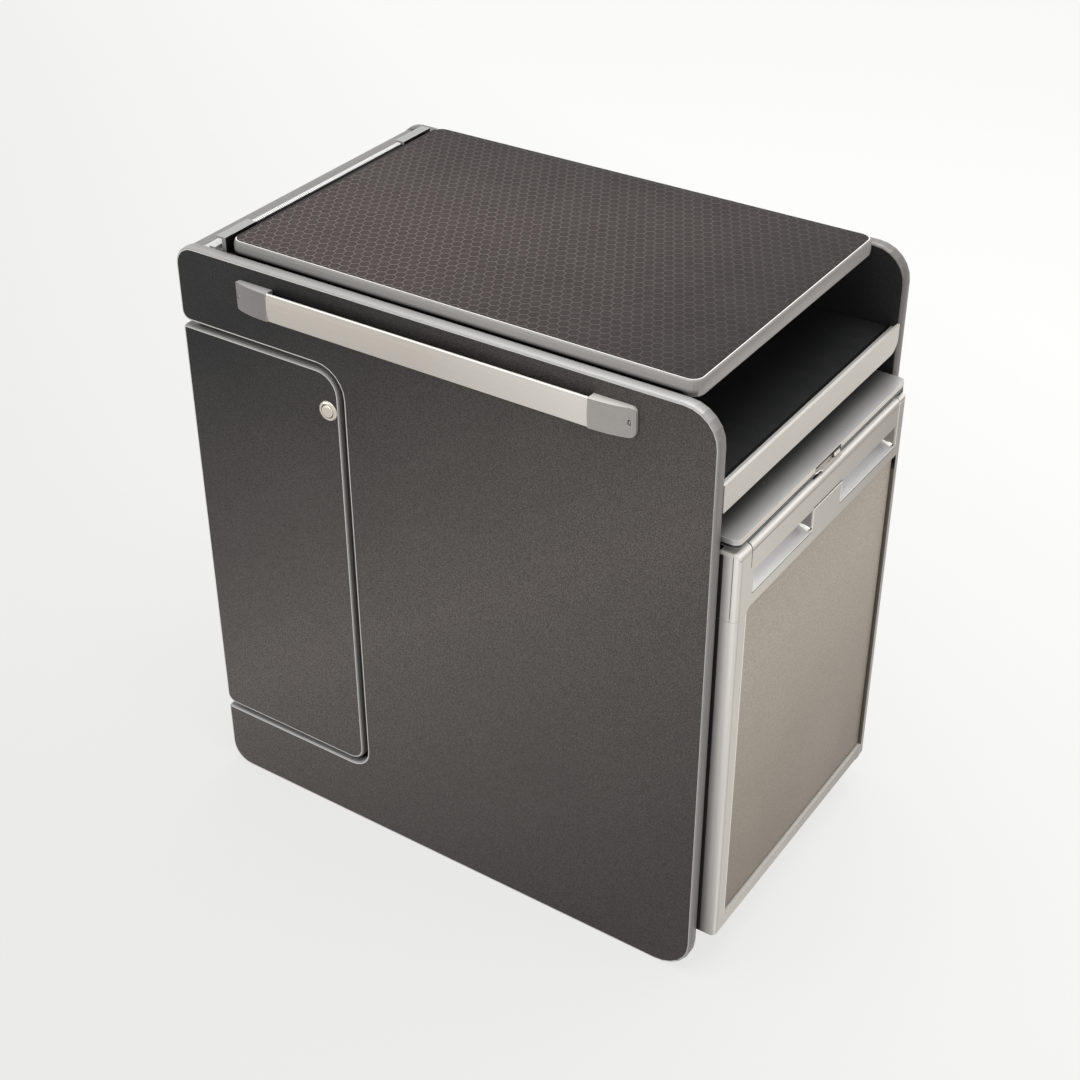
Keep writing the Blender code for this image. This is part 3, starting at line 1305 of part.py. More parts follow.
def fridge_door_inside():
    """Seal, inner lining and two racks on the back of the fridge door."""
    middle = (FRIDGE_DOOR_BOTTOM + FRIDGE_DOOR_TOP) / 2
    pivot = door_pivot(middle)
    back = DOOR_BACK - SEAT
    left, right = FRIDGE_LEFT + SEAL_INSET, FRIDGE_RIGHT - SEAL_INSET
    low, high = FRIDGE_DOOR_BOTTOM + SEAL_INSET, FRIDGE_DOOR_TOP - SEAL_INSET
    ring = rectangle(left, low, right, high, SEAL_WIDTH)
    hole = rounded(inset(ring, SEAL_WIDTH))
    seal = prism_mesh("X", [rounded(ring), hole], back - SEAL_THICKNESS, back)
    add("fridge_door_seal", seal, SEAL_RUBBER, pivot)

    y0, y1 = FRIDGE_LEFT + LINING_SIDE, FRIDGE_RIGHT - LINING_SIDE
    z0, z1 = FRIDGE_DOOR_BOTTOM + LINING_END, FRIDGE_DOOR_TOP - LINING_END
    shape = box_mesh((back - LINING_DEPTH, y0, z0), (back, y1, z1))
    pad = add("fridge_door_liner", shape, WHITE_LINER, pivot)
    dent = box_mesh(
        (back - LINING_DEPTH - OVERRUN, y0 + LINING_DEPTH, z0 + LINING_DEPTH),
        (back - LINING_DEPTH + LINING_DENT, y1 - LINING_DEPTH, z1 - LINING_DEPTH),
    )
    cut(pad, dent, "liner_dent")
    x1 = back - LINING_DEPTH - SEAT
    x0 = x1 - RACK_DEPTH
    left, right = FRIDGE_LEFT + RACK_SIDE, FRIDGE_RIGHT - RACK_SIDE
    corners = [(x0, left, RACK_RADIUS), (x1, left, 0), (x1, right, 0), (x0, right, RACK_RADIUS)]
    outer, inner = rounded(corners, SMALL_STEPS), rounded(inset(corners, RACK_WALL), SMALL_STEPS)
    levels = {
        "lower": (FRIDGE_DOOR_BOTTOM + LOW_RACK_RISE, LOW_RACK_HEIGHT),
        "upper": (FRIDGE_DOOR_TOP - HIGH_RACK_DROP, HIGH_RACK_HEIGHT),
    }
    for name, (low, height) in levels.items():
        tray = add(f"fridge_rack_{name}", prism_mesh("Z", [outer], low, low + height), WHITE_LINER, pivot)
        cut(tray, prism_mesh("Z", [inner], low + RACK_WALL, low + height + OVERRUN), f"rack_room_{name}")


def fridge_hinges():
    """Brackets from the cabinet front to the door's pivot, each with its pin."""
    x0 = CABINET_FRONT + SEAT
    x1 = PIVOT_X + BRACKET_NOSE
    y0 = PIVOT_Y - BRACKET_WIDTH / 2
    y1 = PIVOT_Y + BRACKET_NOSE
    outline = rounded([(x0, y0, 0), (x1, y0, BRACKET_ROUND), (x1, y1, BRACKET_ROUND), (x0, y1, 0)])
    reach = PIVOT_DEPTH - BRACKET_END_GAP
    bottom = BASE_TOP + LOW_BRACKET_GAP
    top = FRIDGE_DOOR_TOP + HIGH_BRACKET_GAP
    pins = {
        "bottom": (bottom, bottom + BRACKET_THICKNESS / 2, FRIDGE_DOOR_BOTTOM + reach),
        "top": (top, FRIDGE_DOOR_TOP - reach, top + BRACKET_THICKNESS / 2),
    }
    for name, (low, start, end) in pins.items():
        shape = prism_mesh("Z", [outline], low, low + BRACKET_THICKNESS)
        plate = add(f"fridge_hinge_{name}", shape, STEEL)
        pin = rod_mesh("Z", (PIVOT_X, PIVOT_Y, start), PIVOT_RADIUS, end - start, TUBE_STEPS)
        join(plate, pin, f"bracket_pin_{name}")


def fridge_inside():
    """Evaporator sleeve under the roof, two slotted shelves on their ledges, thermostat with its dial."""
    wall = SEAT + LINER_WALL
    left, right = FRIDGE_LEFT + LINER_SIDE + wall, FRIDGE_RIGHT - LINER_SIDE - wall
    roof = LINER_ROOF - wall - SEAT
    y0, y1 = FRIDGE_LEFT + EVAPORATOR_SIDE, FRIDGE_RIGHT - EVAPORATOR_SIDE
    outer = rectangle(y0, roof - EVAPORATOR_HEIGHT, y1, roof, EVAPORATOR_RADIUS)
    hole = rounded(inset(outer, EVAPORATOR_WALL))
    sleeve = prism_mesh("X", [rounded(outer), hole], EVAPORATOR_REAR, EVAPORATOR_FRONT)
    add("fridge_evaporator", sleeve, BRIGHT)

    y0, y1 = left + SEAT, right - SEAT
    loops = [[(WIRE_SHELF_REAR, y0), (WIRE_SHELF_FRONT, y0), (WIRE_SHELF_FRONT, y1), (WIRE_SHELF_REAR, y1)]]
    first = y0 + WIRE_SHELF_FRAME
    pitch = (y1 - WIRE_SHELF_FRAME - first + WIRE_SHELF_BAR) / WIRE_SHELF_SLOTS
    x0, x1 = WIRE_SHELF_REAR + WIRE_SHELF_FRAME, WIRE_SHELF_FRONT - WIRE_SHELF_FRAME
    for k in range(WIRE_SHELF_SLOTS):
        low, high = first + pitch * k, first + pitch * (k + 1) - WIRE_SHELF_BAR
        loops.append([(x0, low), (x1, low), (x1, high), (x0, high)])
    for name, level in (("lower", LOWER_SHELF), ("upper", UPPER_SHELF)):
        grid = prism_mesh("Z", loops, level, level + WIRE_SHELF_THICKNESS)
        add(f"fridge_shelf_{name}", grid, WHITE_LINER)

    thermostat(right - SEAT, roof)


def thermostat(wall, roof):
    """Housing under the liner's roof with a marked dial on its face."""
    face = wall - THERMOSTAT_DEPTH
    low = roof - THERMOSTAT_HEIGHT
    housing = box_mesh((THERMOSTAT_REAR, face, low), (THERMOSTAT_FRONT, wall, roof))
    soften(add("thermostat_housing", housing, WHITE_LINER), LINER_WALL)
    centre = (THERMOSTAT_REAR + THERMOSTAT_LENGTH / 2, face - SEAT, low + THERMOSTAT_HEIGHT / 2)
    turned = lathe_mesh("Y", centre, lathe_shares(DIAL_RADIUS, DIAL_HEIGHT, DIAL_SHARES), TUBE_STEPS)
    dial = add("thermostat_dial", turned, DARK_PLASTIC, centre)
    x, y, z = centre
    mark = box_mesh(
        (x - DIAL_MARK / 2, y - DIAL_HEIGHT - OVERRUN, z),
        (x + DIAL_MARK / 2, y - DIAL_HEIGHT + DIAL_MARK, z + DIAL_RADIUS / 2),
    )
    cut(dial, mark, "dial_mark")


def cooling_unit():
    """Tray in the recess that carries the compressor, its electronics and a finned condenser."""
    low = BASE_TOP + SEAT
    section = [
        (TRAY_REAR, low),
        (TRAY_FRONT, low),
        (TRAY_FRONT, low + TRAY_LIP),
        (TRAY_FRONT - TRAY_THICKNESS, low + TRAY_LIP),
        (TRAY_FRONT - TRAY_THICKNESS, low + TRAY_THICKNESS),
        (TRAY_REAR, low + TRAY_THICKNESS),
    ]
    add("compressor_tray", prism_mesh("Y", [section], TRAY_LEFT, TRAY_RIGHT), STEEL)
    floor = low + TRAY_THICKNESS + SEAT
    x = (TRAY_REAR + TRAY_FRONT - TRAY_THICKNESS) / 2
    foot = [(0, 0), (COMPRESSOR_FOOT, 0), (COMPRESSOR_FOOT, TRAY_THICKNESS)]
    can = foot + lathe_shares(COMPRESSOR_RADIUS, COMPRESSOR_HEIGHT, COMPRESSOR_SHARES)
    add("compressor", lathe_mesh("Z", (x, COMPRESSOR_Y, floor), can, ROUND_STEPS), BLACK_ENAMEL)
    start = COMPRESSOR_Y + COMPRESSOR_FOOT + SEAT
    pack = box_mesh(
        (x - ELECTRONICS_WIDTH / 2, start, floor),
        (x + ELECTRONICS_WIDTH / 2, start + ELECTRONICS_LENGTH, floor + ELECTRONICS_HEIGHT),
    )
    soften(add("compressor_electronics", pack, DARK_PLASTIC), LINER_WALL)
    condenser(x, TRAY_LEFT + CONDENSER_INSET, COMPRESSOR_Y - COMPRESSOR_FOOT - CONDENSER_GAP, floor)


def condenser(x, left, right, floor):
    """Block of upright fins on one spine."""
    pitch = (right - left - CONDENSER_FIN) / (CONDENSER_FINS - 1)
    back, front = x - CONDENSER_DEPTH / 2, x + CONDENSER_DEPTH / 2
    valley = front - CONDENSER_SPINE
    comb = [(front, left), (back, left)]
    for k in range(CONDENSER_FINS - 1):
        inner = left + pitch * k + CONDENSER_FIN
        outer = left + pitch * (k + 1)
        comb += [(back, inner), (valley, inner), (valley, outer), (back, outer)]
    comb += [(back, right), (front, right)]
    add("condenser", prism_mesh("Z", [comb], floor, floor + CONDENSER_HEIGHT), BRIGHT)


front_panel()
back_panel()
end_panel()
inner_boards()
shelf_lip()
lid()
lid_hinge()
hinge_blocks()
grab_rail()
locker_door()
push_lock()
locker_hinges()
fridge_cabinet()
fridge_top()
fridge_door_front()
fridge_door_inside()
fridge_hinges()
fridge_inside()
cooling_unit()
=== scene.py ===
# %% [markdown]
# # A campervan kitchen pod
# The object is a small cupboard on two long boards. A built-in compressor fridge fills one end,
# a tall locker the other, and a hinged lid covers the compartment on top. The shapes come from a
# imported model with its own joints. This script gives them finishes, adds the small parts that are
# too fine for a solid model, and sets up a plain studio.

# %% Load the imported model
import json
import math

import bmesh
import bpy
from mathutils import Matrix, Vector

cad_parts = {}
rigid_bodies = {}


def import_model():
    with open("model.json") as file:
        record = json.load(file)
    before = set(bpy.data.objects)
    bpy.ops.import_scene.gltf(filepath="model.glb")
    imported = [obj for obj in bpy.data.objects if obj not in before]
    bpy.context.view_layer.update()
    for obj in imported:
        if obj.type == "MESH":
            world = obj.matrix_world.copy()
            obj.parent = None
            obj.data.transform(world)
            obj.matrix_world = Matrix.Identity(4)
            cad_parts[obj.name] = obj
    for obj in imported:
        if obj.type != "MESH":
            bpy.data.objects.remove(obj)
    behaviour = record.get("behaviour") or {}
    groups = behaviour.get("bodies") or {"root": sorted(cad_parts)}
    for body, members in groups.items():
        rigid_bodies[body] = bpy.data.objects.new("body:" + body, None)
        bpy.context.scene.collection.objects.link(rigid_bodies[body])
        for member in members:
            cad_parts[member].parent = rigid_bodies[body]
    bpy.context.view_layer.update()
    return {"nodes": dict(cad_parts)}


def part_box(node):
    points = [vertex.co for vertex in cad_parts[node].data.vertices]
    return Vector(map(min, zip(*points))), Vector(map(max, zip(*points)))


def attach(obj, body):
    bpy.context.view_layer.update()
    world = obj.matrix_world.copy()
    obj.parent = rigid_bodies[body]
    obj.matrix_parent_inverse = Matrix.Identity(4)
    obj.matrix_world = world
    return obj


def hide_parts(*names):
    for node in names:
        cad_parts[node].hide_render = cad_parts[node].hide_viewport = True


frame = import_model()
nodes = frame["nodes"]

# %% [markdown]
# ## Places on the pod
# Everything is measured as a joiner would: millimetres from the pod's left end, its front face and
# the floor. The model's own origin lies under the middle of the pod, so one small function moves a
# measured point there, and a second one does the same along a single axis.

# %% From pod millimetres to the model's metres
MM = 0.001
ORIGIN = Vector((345, 204, 0))


def at(x, y, z):
    """Point of the model, in metres, from pod millimetres."""
    return (Vector((x, y, z)) - ORIGIN) * MM


def mark(axis, value):
    """The model's metres for a pod millimetre along X, Y or Z."""
    return at(value, value, value)["XYZ".index(axis)]


print("middle of the lid:", tuple(round(v, 4) for v in at(349, 210, 737.5)))

# %% [markdown]
# ## The camera
# The photograph was taken with a slightly long lens from above the fridge corner. The place and the
# turn of the camera were worked out from the pod's straight edges, and the small shift makes up for
# the picture having been cropped off centre.

# %% Camera
SENSOR = 36
LENS = 62.15


def add_object(name, data):
    made = bpy.data.objects.new(name, data)
    bpy.context.scene.collection.objects.link(made)
    return made


camera_data = bpy.data.cameras.new("camera")
camera_data.sensor_width = SENSOR
camera_data.lens = LENS
camera_data.shift_x = 0.0425
camera_data.shift_y = -0.0148
camera = add_object("camera", camera_data)
camera.location = at(1343.9, -1309.5, 1580.7)
camera.rotation_euler = [math.radians(angle) for angle in (56.3755, 0.8877, 34.7013)]
bpy.context.scene.camera = camera
bpy.context.scene.view_settings.view_transform = "Standard"
print("camera stands", round(camera.location.z, 2), "m above the floor")

# %% [markdown]
# ## The studio
# A pale floor and a few large, soft lamps. The broad lamp overhead is the main one, so faces that
# look up are about twice as bright as upright ones, as in the photograph. The world fills the
# shadows. Nothing here belongs to the pod.

# %% Floor and lamps
FLOOR_SIZE = 14


def stage_floor():
    shape = bmesh.new()
    bmesh.ops.create_grid(shape, x_segments=1, y_segments=1, size=FLOOR_SIZE / 2)
    mesh = bpy.data.meshes.new("studio_floor")
    shape.to_mesh(mesh)
    shape.free()
    floor = add_object("studio_floor", mesh)
    return floor


def lamp(name, place, target, size, power):
    """Square area lamp that looks at a target; the camera doesn't see it."""
    data = bpy.data.lights.new(name, "AREA")
    data.shape = "SQUARE"
    data.size = size
    data.energy = power
    made = add_object(name, data)
    made.location = place
    made.rotation_euler = (Vector(target) - Vector(place)).to_track_quat("-Z", "Y").to_euler()
    made.visible_camera = False


floor = stage_floor()
lamp("overhead", (0.1, 0.2, 3.2), (0, 0, 0.4), 2.6, 84)
lamp("window", (-2.4, -2.4, 1.3), (0, 0, 0.3), 1.8, 26)
lamp("door_side", (2.9, -0.4, 1.7), (0.3, 0, 0.4), 1.6, 22)
print("floor and", len(bpy.data.lights), "lamps")

# %% [markdown]
# ## Building with nodes
# Each finish is a node material. A few helpers keep them readable: they turn screen colours into the
# linear values that a shader wants, add maths nodes, and plug in what a node is given. A helper finds
# the tree to work in by itself, since every socket knows the tree that it belongs to.

# %% Node helpers


def screen(red, green, blue):
    """Linear colour of an 8 bit screen colour."""
    values = [channel / 255 for channel in (red, green, blue)]
    linear = [v / 12.92 if v <= 0.04045 else ((v + 0.055) / 1.055) ** 2.4 for v in values]
    return (*linear, 1)


def plug(socket, value):
    """A link if the value is a socket, and else the socket's own value."""
    if isinstance(value, bpy.types.NodeSocket):
        socket.id_data.links.new(value, socket)
    else:
        socket.default_value = value


def node(tree, kind, settings=None, values=(), **named):
    """Node of a kind; values go to its sockets in order or by name, with _ for a blank."""
    made = tree.nodes.new("ShaderNode" + kind)
    for key, value in (settings or {}).items():
        setattr(made, key, value)
    for socket, value in zip(made.inputs, values):
        plug(socket, value)
    for key, value in named.items():
        plug(made.inputs[key.replace("_", " ")], value)
    return made


def home(*values):
    """The node tree of the first socket among some values."""
    return next(value.id_data for value in values if isinstance(value, bpy.types.NodeSocket))


def calc(operation, *values):
    """Result of a maths node."""
    return node(home(*values), "Math", {"operation": operation}, values).outputs[0]


def times(first, *others):
    """Product of masks, which is 1 only where all of them are."""
    for other in others:
        first = calc("MULTIPLY", first, other)
    return first


def vector(operation, *values, **named):
    """Result of a vector maths node: a vector, or a number for a dot product or a length."""
    made = node(home(*values, *named.values()), "VectorMath", {"operation": operation}, values, **named)
    return made.outputs["Value" if operation in ("DOT_PRODUCT", "LENGTH") else "Vector"]


def blend(factor, low, high):
    """Colour between two, each a socket, a screen colour of three numbers or a linear one of four."""
    made = node(factor.id_data, "Mix", {"data_type": "RGBA"}, [factor])
    for index, colour in ((6, low), (7, high)):
        on_screen = isinstance(colour, tuple) and len(colour) == 3
        plug(made.inputs[index], screen(*colour) if on_screen else colour)
    return made.outputs[2]


def spread(value, low, high, to_low=0.0, to_high=1.0):
    """Value moved from one range to another, and kept inside it."""
    return node(value.id_data, "MapRange", None, (value, low, high, to_low, to_high)).outputs[0]


print("edging grey in linear values:", [round(v, 3) for v in screen(150, 149, 147)])

# %% [markdown]
# ## The world
# The photograph's backdrop is nearly white, but so much light from all round would wash out every
# shadow. So the world is white only where a ray comes from the camera, or from it by way of a
# mirror. Light that bounces meets a softer white.

# %% World
LIGHT_OF_WORLD = (0.42, 0.42, 0.414, 1)
LOOK_OF_WORLD = (0.9, 0.9, 0.885, 1)


def seen_ray(tree):
    """1 for what the camera sees, straight or in a mirror, and 0 for light that only bounces."""
    path = node(tree, "LightPath").outputs
    mirrored = calc("MAXIMUM", path["Is Glossy Ray"], path["Is Transmission Ray"])
    return calc("MAXIMUM", path["Is Camera Ray"], mirrored)


world = bpy.data.worlds.new("studio")
world.use_nodes = True
sky = blend(seen_ray(world.node_tree), LIGHT_OF_WORLD, LOOK_OF_WORLD)
plug(world.node_tree.nodes["Background"].inputs["Color"], sky)
bpy.context.scene.world = world
print("world gives", LIGHT_OF_WORLD[0], "and shows", LOOK_OF_WORLD[0])

# %% [markdown]
# ## Effects that several finishes share
# A node group is a small machine with named sockets. The grain of a laminate, the slow drift of
# tone over a big board, the drawn lines of brushed metal, dust on faces that look up, and pale edges,
# partly worn and partly a painted highlight, turn up in several finishes, so each is built once here
# and used with other values.

# %% Start a group


def new_group(name, outputs=("Mask",), **inputs):
    """Group with a Position, other inputs and numbers as outputs."""
    tree = bpy.data.node_groups.new(name, "ShaderNodeTree")
    tree.interface.new_socket("Position", in_out="INPUT", socket_type="NodeSocketVector")
    for key, value in inputs.items():
        kind = "NodeSocketVector" if isinstance(value, tuple) else "NodeSocketFloat"
        tree.interface.new_socket(key, in_out="INPUT", socket_type=kind).default_value = value
    for key in outputs:
        tree.interface.new_socket(key, in_out="OUTPUT", socket_type="NodeSocketFloat")
    given = tree.nodes.new("NodeGroupInput").outputs
    return tree, given, tree.nodes.new("NodeGroupOutput").inputs


def noise(position, scale, detail=2.0, roughness=0.5):
    values = {"Vector": position, "Scale": scale, "Detail": detail, "Roughness": roughness}
    return node(position.id_data, "TexNoise", **values).outputs["Fac"]


# %% Grain: the fine mottling of a printed or moulded surface, with a size in millimetres
GRAIN, given, result = new_group("grain", ("Mask", "Height"), Size=1.0, Softness=0.2)
fine = noise(given["Position"], calc("DIVIDE", 1000.0, given["Size"]), 1.0, 0.5)
low = calc("SUBTRACT", 0.5, given["Softness"])
high = calc("ADD", 0.5, given["Softness"])
plug(result["Mask"], spread(fine, low, high))
plug(result["Height"], fine)

# %% Drift: the slow change of tone over a board, with a size in metres
DRIFT, given, result = new_group("drift", Size=0.25)
slow = noise(given["Position"], calc("DIVIDE", 1.0, given["Size"]), 2.0, 0.55)
plug(result["Mask"], spread(slow, 0.3, 0.7))

# %% Brushing: fine lines drawn along the direction in which Across is small
BRUSHING, given, result = new_group("brushing", Across=(1, 1, 1), Size=0.4)
stretched = vector("MULTIPLY", given["Position"], given["Across"])
lines = noise(stretched, calc("DIVIDE", 1000.0, given["Size"]), 3.0, 0.65)
plug(result["Mask"], spread(lines, 0.25, 0.75))

# %% Dust: settled in patches on faces that look up


def looking_up(tree, low, high):
    """0 to 1 as a face turns upward, in the world's space."""
    normal = node(tree, "NewGeometry").outputs["Normal"]
    return spread(node(tree, "SeparateXYZ", Vector=normal).outputs["Z"], low, high)


DUST, given, result = new_group("dust", Amount=0.3, Size=0.03)
patches = noise(given["Position"], calc("DIVIDE", 1.0, given["Size"]), 6.0, 0.7)
mottled = spread(patches, 0.35, 0.85)
plug(result["Mask"], times(looking_up(DUST, 0.5, 1.0), mottled, given["Amount"]))

# %% Arris: a pale line along an edge, partly wear where the skin is rubbed smooth, partly a painted highlight
ARRIS, given, result = new_group("arris", Width=0.0008, Amount=0.5)
softened = node(ARRIS, "Bevel", {"samples": 4}, Radius=given["Width"]).outputs[0]
sharp = node(ARRIS, "NewGeometry").outputs["Normal"]
edge = spread(vector("DOT_PRODUCT", softened, sharp), 0.998, 0.93)
rubbed = spread(noise(given["Position"], 90.0, 3.0, 0.6), 0.2, 0.5)
plug(result["Mask"], times(edge, rubbed, given["Amount"]))

# %% Specks: a few pale crumbs of dust on a face that looks up
SPECKS, given, result = new_group("specks", Spacing=0.03, Share=0.3)
scale = calc("DIVIDE", 1.0, given["Spacing"])
cells = node(SPECKS, "TexVoronoi", Vector=given["Position"], Scale=scale).outputs
spot = spread(cells["Distance"], 0.035, 0.015)
lot = node(SPECKS, "SeparateColor", Color=cells["Color"]).outputs[0]
chosen = calc("LESS_THAN", lot, given["Share"])
plug(result["Mask"], times(spot, chosen, looking_up(SPECKS, 0.8, 0.9)))
print("shared effects:", [group.name for group in bpy.data.node_groups])

# %% [markdown]
# ## Starting a finish
# Every finish begins the same way: a Principled shader, and the position of the surface in the
# piece's own space, so that the pattern stays on the piece when its joint moves. At rest that space
# is the pod's own, so a finish can also change at a measured place: a shadow line, a seam, the dark
# behind an edge. Masks for such places are made from pod millimetres.

# %% A material with its position and shader


def shader_of(made):
    return made.node_tree.nodes["Principled BSDF"].inputs


def finish(name, roughness, metallic=0.0, coat=0.0, specular=0.5):
    """A new material, and the place of the surface in the piece's own space."""
    made = bpy.data.materials.new(name)
    made.use_nodes = True
    shader_of(made)["Roughness"].default_value = roughness
    shader_of(made)["Metallic"].default_value = metallic
    shader_of(made)["Coat Weight"].default_value = coat
    shader_of(made)["Specular IOR Level"].default_value = specular
    return made, made.node_tree.nodes.new("ShaderNodeTexCoord").outputs["Object"]


def use(group, place, **values):
    """A shared effect placed in a material."""
    return node(place.id_data, "Group", {"node_tree": group}, Position=place, **values).outputs


def cover(made, tone, shine, height, distance, strength):
    """Plugs in a colour, a roughness and a small relief, whose distance is in metres."""
    relief = node(made.node_tree, "Bump", Height=height, Distance=distance, Strength=strength)
    plug(shader_of(made)["Base Color"], tone)
    plug(shader_of(made)["Roughness"], shine)
    plug(shader_of(made)["Normal"], relief.outputs[0])
    return made


def grained(colour, mask, depth):
    """Colour that a mask makes a little darker and a little lighter."""
    base = colour if isinstance(colour, bpy.types.NodeSocket) else screen(*colour)[:3]
    return vector("SCALE", base, Scale=spread(mask, 0.0, 1.0, 1 - depth, 1 + depth))


# %% Masks by place and by the way a face looks


def parts(made, output):
    """X, Y and Z of the place of the surface, or of the way it looks, in the piece's own space."""
    tree = made.node_tree
    if output not in tree.nodes:
        source = tree.nodes["Texture Coordinate"].outputs[output]
        node(tree, "SeparateXYZ", {"name": output}, Vector=source)
    return tree.nodes[output].outputs


def where(made):
    return parts(made, "Object")


def facing(made):
    return parts(made, "Normal")


def ramp(made, axis, start, end, low=0.0, high=1.0):
    """Goes from low to high between two pod millimetres along an axis."""
    return spread(where(made)[axis], mark(axis, start), mark(axis, end), low, high)


def past(made, axis, value):
    return calc("GREATER_THAN", where(made)[axis], mark(axis, value))


def before(made, axis, value):
    return calc("LESS_THAN", where(made)[axis], mark(axis, value))


def within(made, axis, low, high):
    """1 between two pod millimetres along an axis, and else 0."""
    return times(past(made, axis, low), before(made, axis, high))


def over(made, share, tone):
    """Lays a tone over the colour that a finish has, as far as a mask says."""
    colour = shader_of(made)["Base Color"]
    plug(colour, blend(share, colour.links[0].from_socket, tone))
    return made


def paint(names, material):
    for name in names:
        slots = nodes[name].material_slots
        for slot in slots:
            slot.material = material
        if not slots:
            nodes[name].data.materials.append(material)


print("the fridge's front lies at X =", round(mark("X", 690), 3), "m")

# %% [markdown]
# ## Laminate
# The boards are plywood with a matt laminate: anthracite outside and black inside. It isn't one
# flat grey. A fine grain shows close up, and a slow drift over the whole board. The outside also
# has a painted reflection, a broad warm sheen along a slanting line, and painted shade that makes
# it darker above that line than below. Which of the two colours shows depends on the way a face
# looks, so one finish serves both sides of a board.

# %% Two faced laminate
# The outside's painted light: shade above a slanting line, lighter below it, and a warm sheen along it.
SHADED_UPPER_TONE = (33, 33, 34)
LIT_LOWER_TONE = (60, 56, 55)
SHEEN_TONE = (92, 86, 83)
INNER_BLACK = (46, 46, 47)
SHEEN_SLOPE = 0.73
SHEEN_RISE = 0.367
SHEEN_REACH = 0.48


def laminate(name, inner_side):
    """inner_side is +1 or -1 for the side along Y that is black, and 0 where both are anthracite."""
    made, place = finish(name, 0.45, specular=0.22)
    grain = use(GRAIN, place, Size=0.95, Softness=0.13)
    drift = use(DRIFT, place, Size=0.13)["Mask"]
    # Painted reflection along the slanting line, and painted shade above it.
    rise = calc("MULTIPLY_ADD", where(made)["X"], -SHEEN_SLOPE, where(made)["Z"])
    off = calc("SUBTRACT", rise, SHEEN_RISE)
    near = spread(calc("ABSOLUTE", off), 0.0, SHEEN_REACH, 0.95, 0.0)
    low = blend(spread(off, -0.15, 0.15), LIT_LOWER_TONE, SHADED_UPPER_TONE)
    board = blend(calc("MULTIPLY_ADD", drift, 0.1, near), low, SHEEN_TONE)
    speckled = grained(board, grain["Mask"], 0.5)
    inward = times(facing(made)["Y"], float(inner_side))
    black = grained(INNER_BLACK, grain["Mask"], 0.25)
    tone = blend(spread(inward, 0.4, 0.6), speckled, black)
    return cover(made, tone, spread(drift, 0.0, 1.0, 0.38, 0.48), grain["Height"], 0.00006, 0.5)


paint(["front_panel", "locker_door"], laminate("front_laminate", 1))
paint(["back_panel"], laminate("back_laminate", -1))
paint(["end_panel"], laminate("end_laminate", 0))

# %% Black laminate of the inner boards, with a little dust
BLACK = (29, 30, 30)


def black_laminate():
    made, place = finish("black_laminate", 0.45, specular=0.25)
    grain = use(GRAIN, place, Size=1.1, Softness=0.14)
    dust = use(DUST, place, Amount=0.03, Size=0.02)["Mask"]
    specks = use(SPECKS, place, Spacing=0.07, Share=0.35)["Mask"]
    dusty = blend(dust, grained(BLACK, grain["Mask"], 0.3), (150, 148, 145))
    return cover(made, blend(specks, dusty, (190, 188, 184)), 0.45, grain["Height"], 0.00006, 0.5)


inner = ["partition", "shelf", "base_panel", "lid_rest_front", "lid_rest_back", "lid_board"]
paint(inner, black_laminate())
print("laminate on", 4 + len(inner), "boards")

# %% [markdown]
# ## Edging
# A soft grey plastic strip is pressed round every board. Its back is satin. The two rims that lap
# over the board's faces carry a painted highlight, a bright line round each board. The rims are
# found by the way they look: straight out, square to the board. Painted shade runs across each
# strip from one face to the other, and darkens it toward the left end and where it turns to face
# the fridge's side.

# %% Edging plastic


def edging_plastic(
    name, side, near, far, tones, rim_highlight=(214, 212, 209), left_shade=0.35, specular=0.5, turn=0.72
):
    """Strip across the side X, Y or Z of a board; its two tones lie at the near and the far face."""
    made, place = finish(name, 0.36, metallic=0.1, specular=specular)
    grain = use(GRAIN, place, Size=0.6, Softness=0.25)
    drift = use(DRIFT, place, Size=0.12)["Mask"]
    # Painted shade across the strip, from the tone at its near face to the tone at its far face.
    back = blend(ramp(made, side, near, far), *tones)
    speckled = blend(times(grain["Mask"], 0.3), back, (118, 116, 114))
    tone = blend(times(drift, 0.2), speckled, (160, 158, 155))
    # Painted shade toward the left end, and on faces that turn toward the fridge's side.
    dimmed = blend(ramp(made, "X", 420, 0, 0.0, left_shade), tone, (96, 95, 94))
    outward = spread(facing(made)["X"], 0.3, 0.95, 0.0, turn)
    turned = blend(outward, dimmed, (84, 78, 74))
    # Painted highlight on the rims that look straight out, mostly left off low down near the fridge.
    square_on = spread(calc("ABSOLUTE", facing(made)[side]), 0.7, 0.95)
    no_rim_highlight = times(ramp(made, "Z", 640, 705, 0.75, 0.0), past(made, "X", 655))
    rim = times(square_on, calc("SUBTRACT", 1.0, no_rim_highlight))
    pale = blend(rim, grained(turned, grain["Mask"], 0.16), rim_highlight)
    return cover(made, pale, spread(grain["Mask"], 0.0, 1.0, 0.3, 0.4), grain["Height"], 0.00003, 0.4)


# Tones at each strip's near and far face: painted shade across the strip.
FRONT_TONES = ((178, 177, 176), (122, 120, 118))
BACK_TONES = ((116, 112, 109), (104, 100, 98))
END_TONES = ((120, 118, 116), (136, 134, 132))
front_strip = edging_plastic("front_edging", "Y", 3, 14, FRONT_TONES)
paint(["front_panel_edging", "locker_door_edging"], front_strip)
back_strip = edging_plastic("back_edging", "Y", 405, 420, BACK_TONES, (140, 137, 134))
paint(["back_panel_edging"], back_strip)
paint(["end_panel_edging"], edging_plastic("end_edging", "X", 10, 25, END_TONES))

# %% [markdown]
# ## The lid's strip
# The strip round the lid lies flat and is painted the palest of all, brightest toward its lower
# edge: painted light, as from the lamp overhead. Painted shade turns it near black under the hinge,
# along the lid's far side and along its lowest edge, and a painted shadow darkens the gap below its
# front side. One finish holds them all, because they are one strip in the solid model.

# %% The lid's strip and the painted shade along it
# Painted light: the lid's strip is palest toward its lower edge.
LID_TONES = ((238, 235, 232), (176, 173, 170))


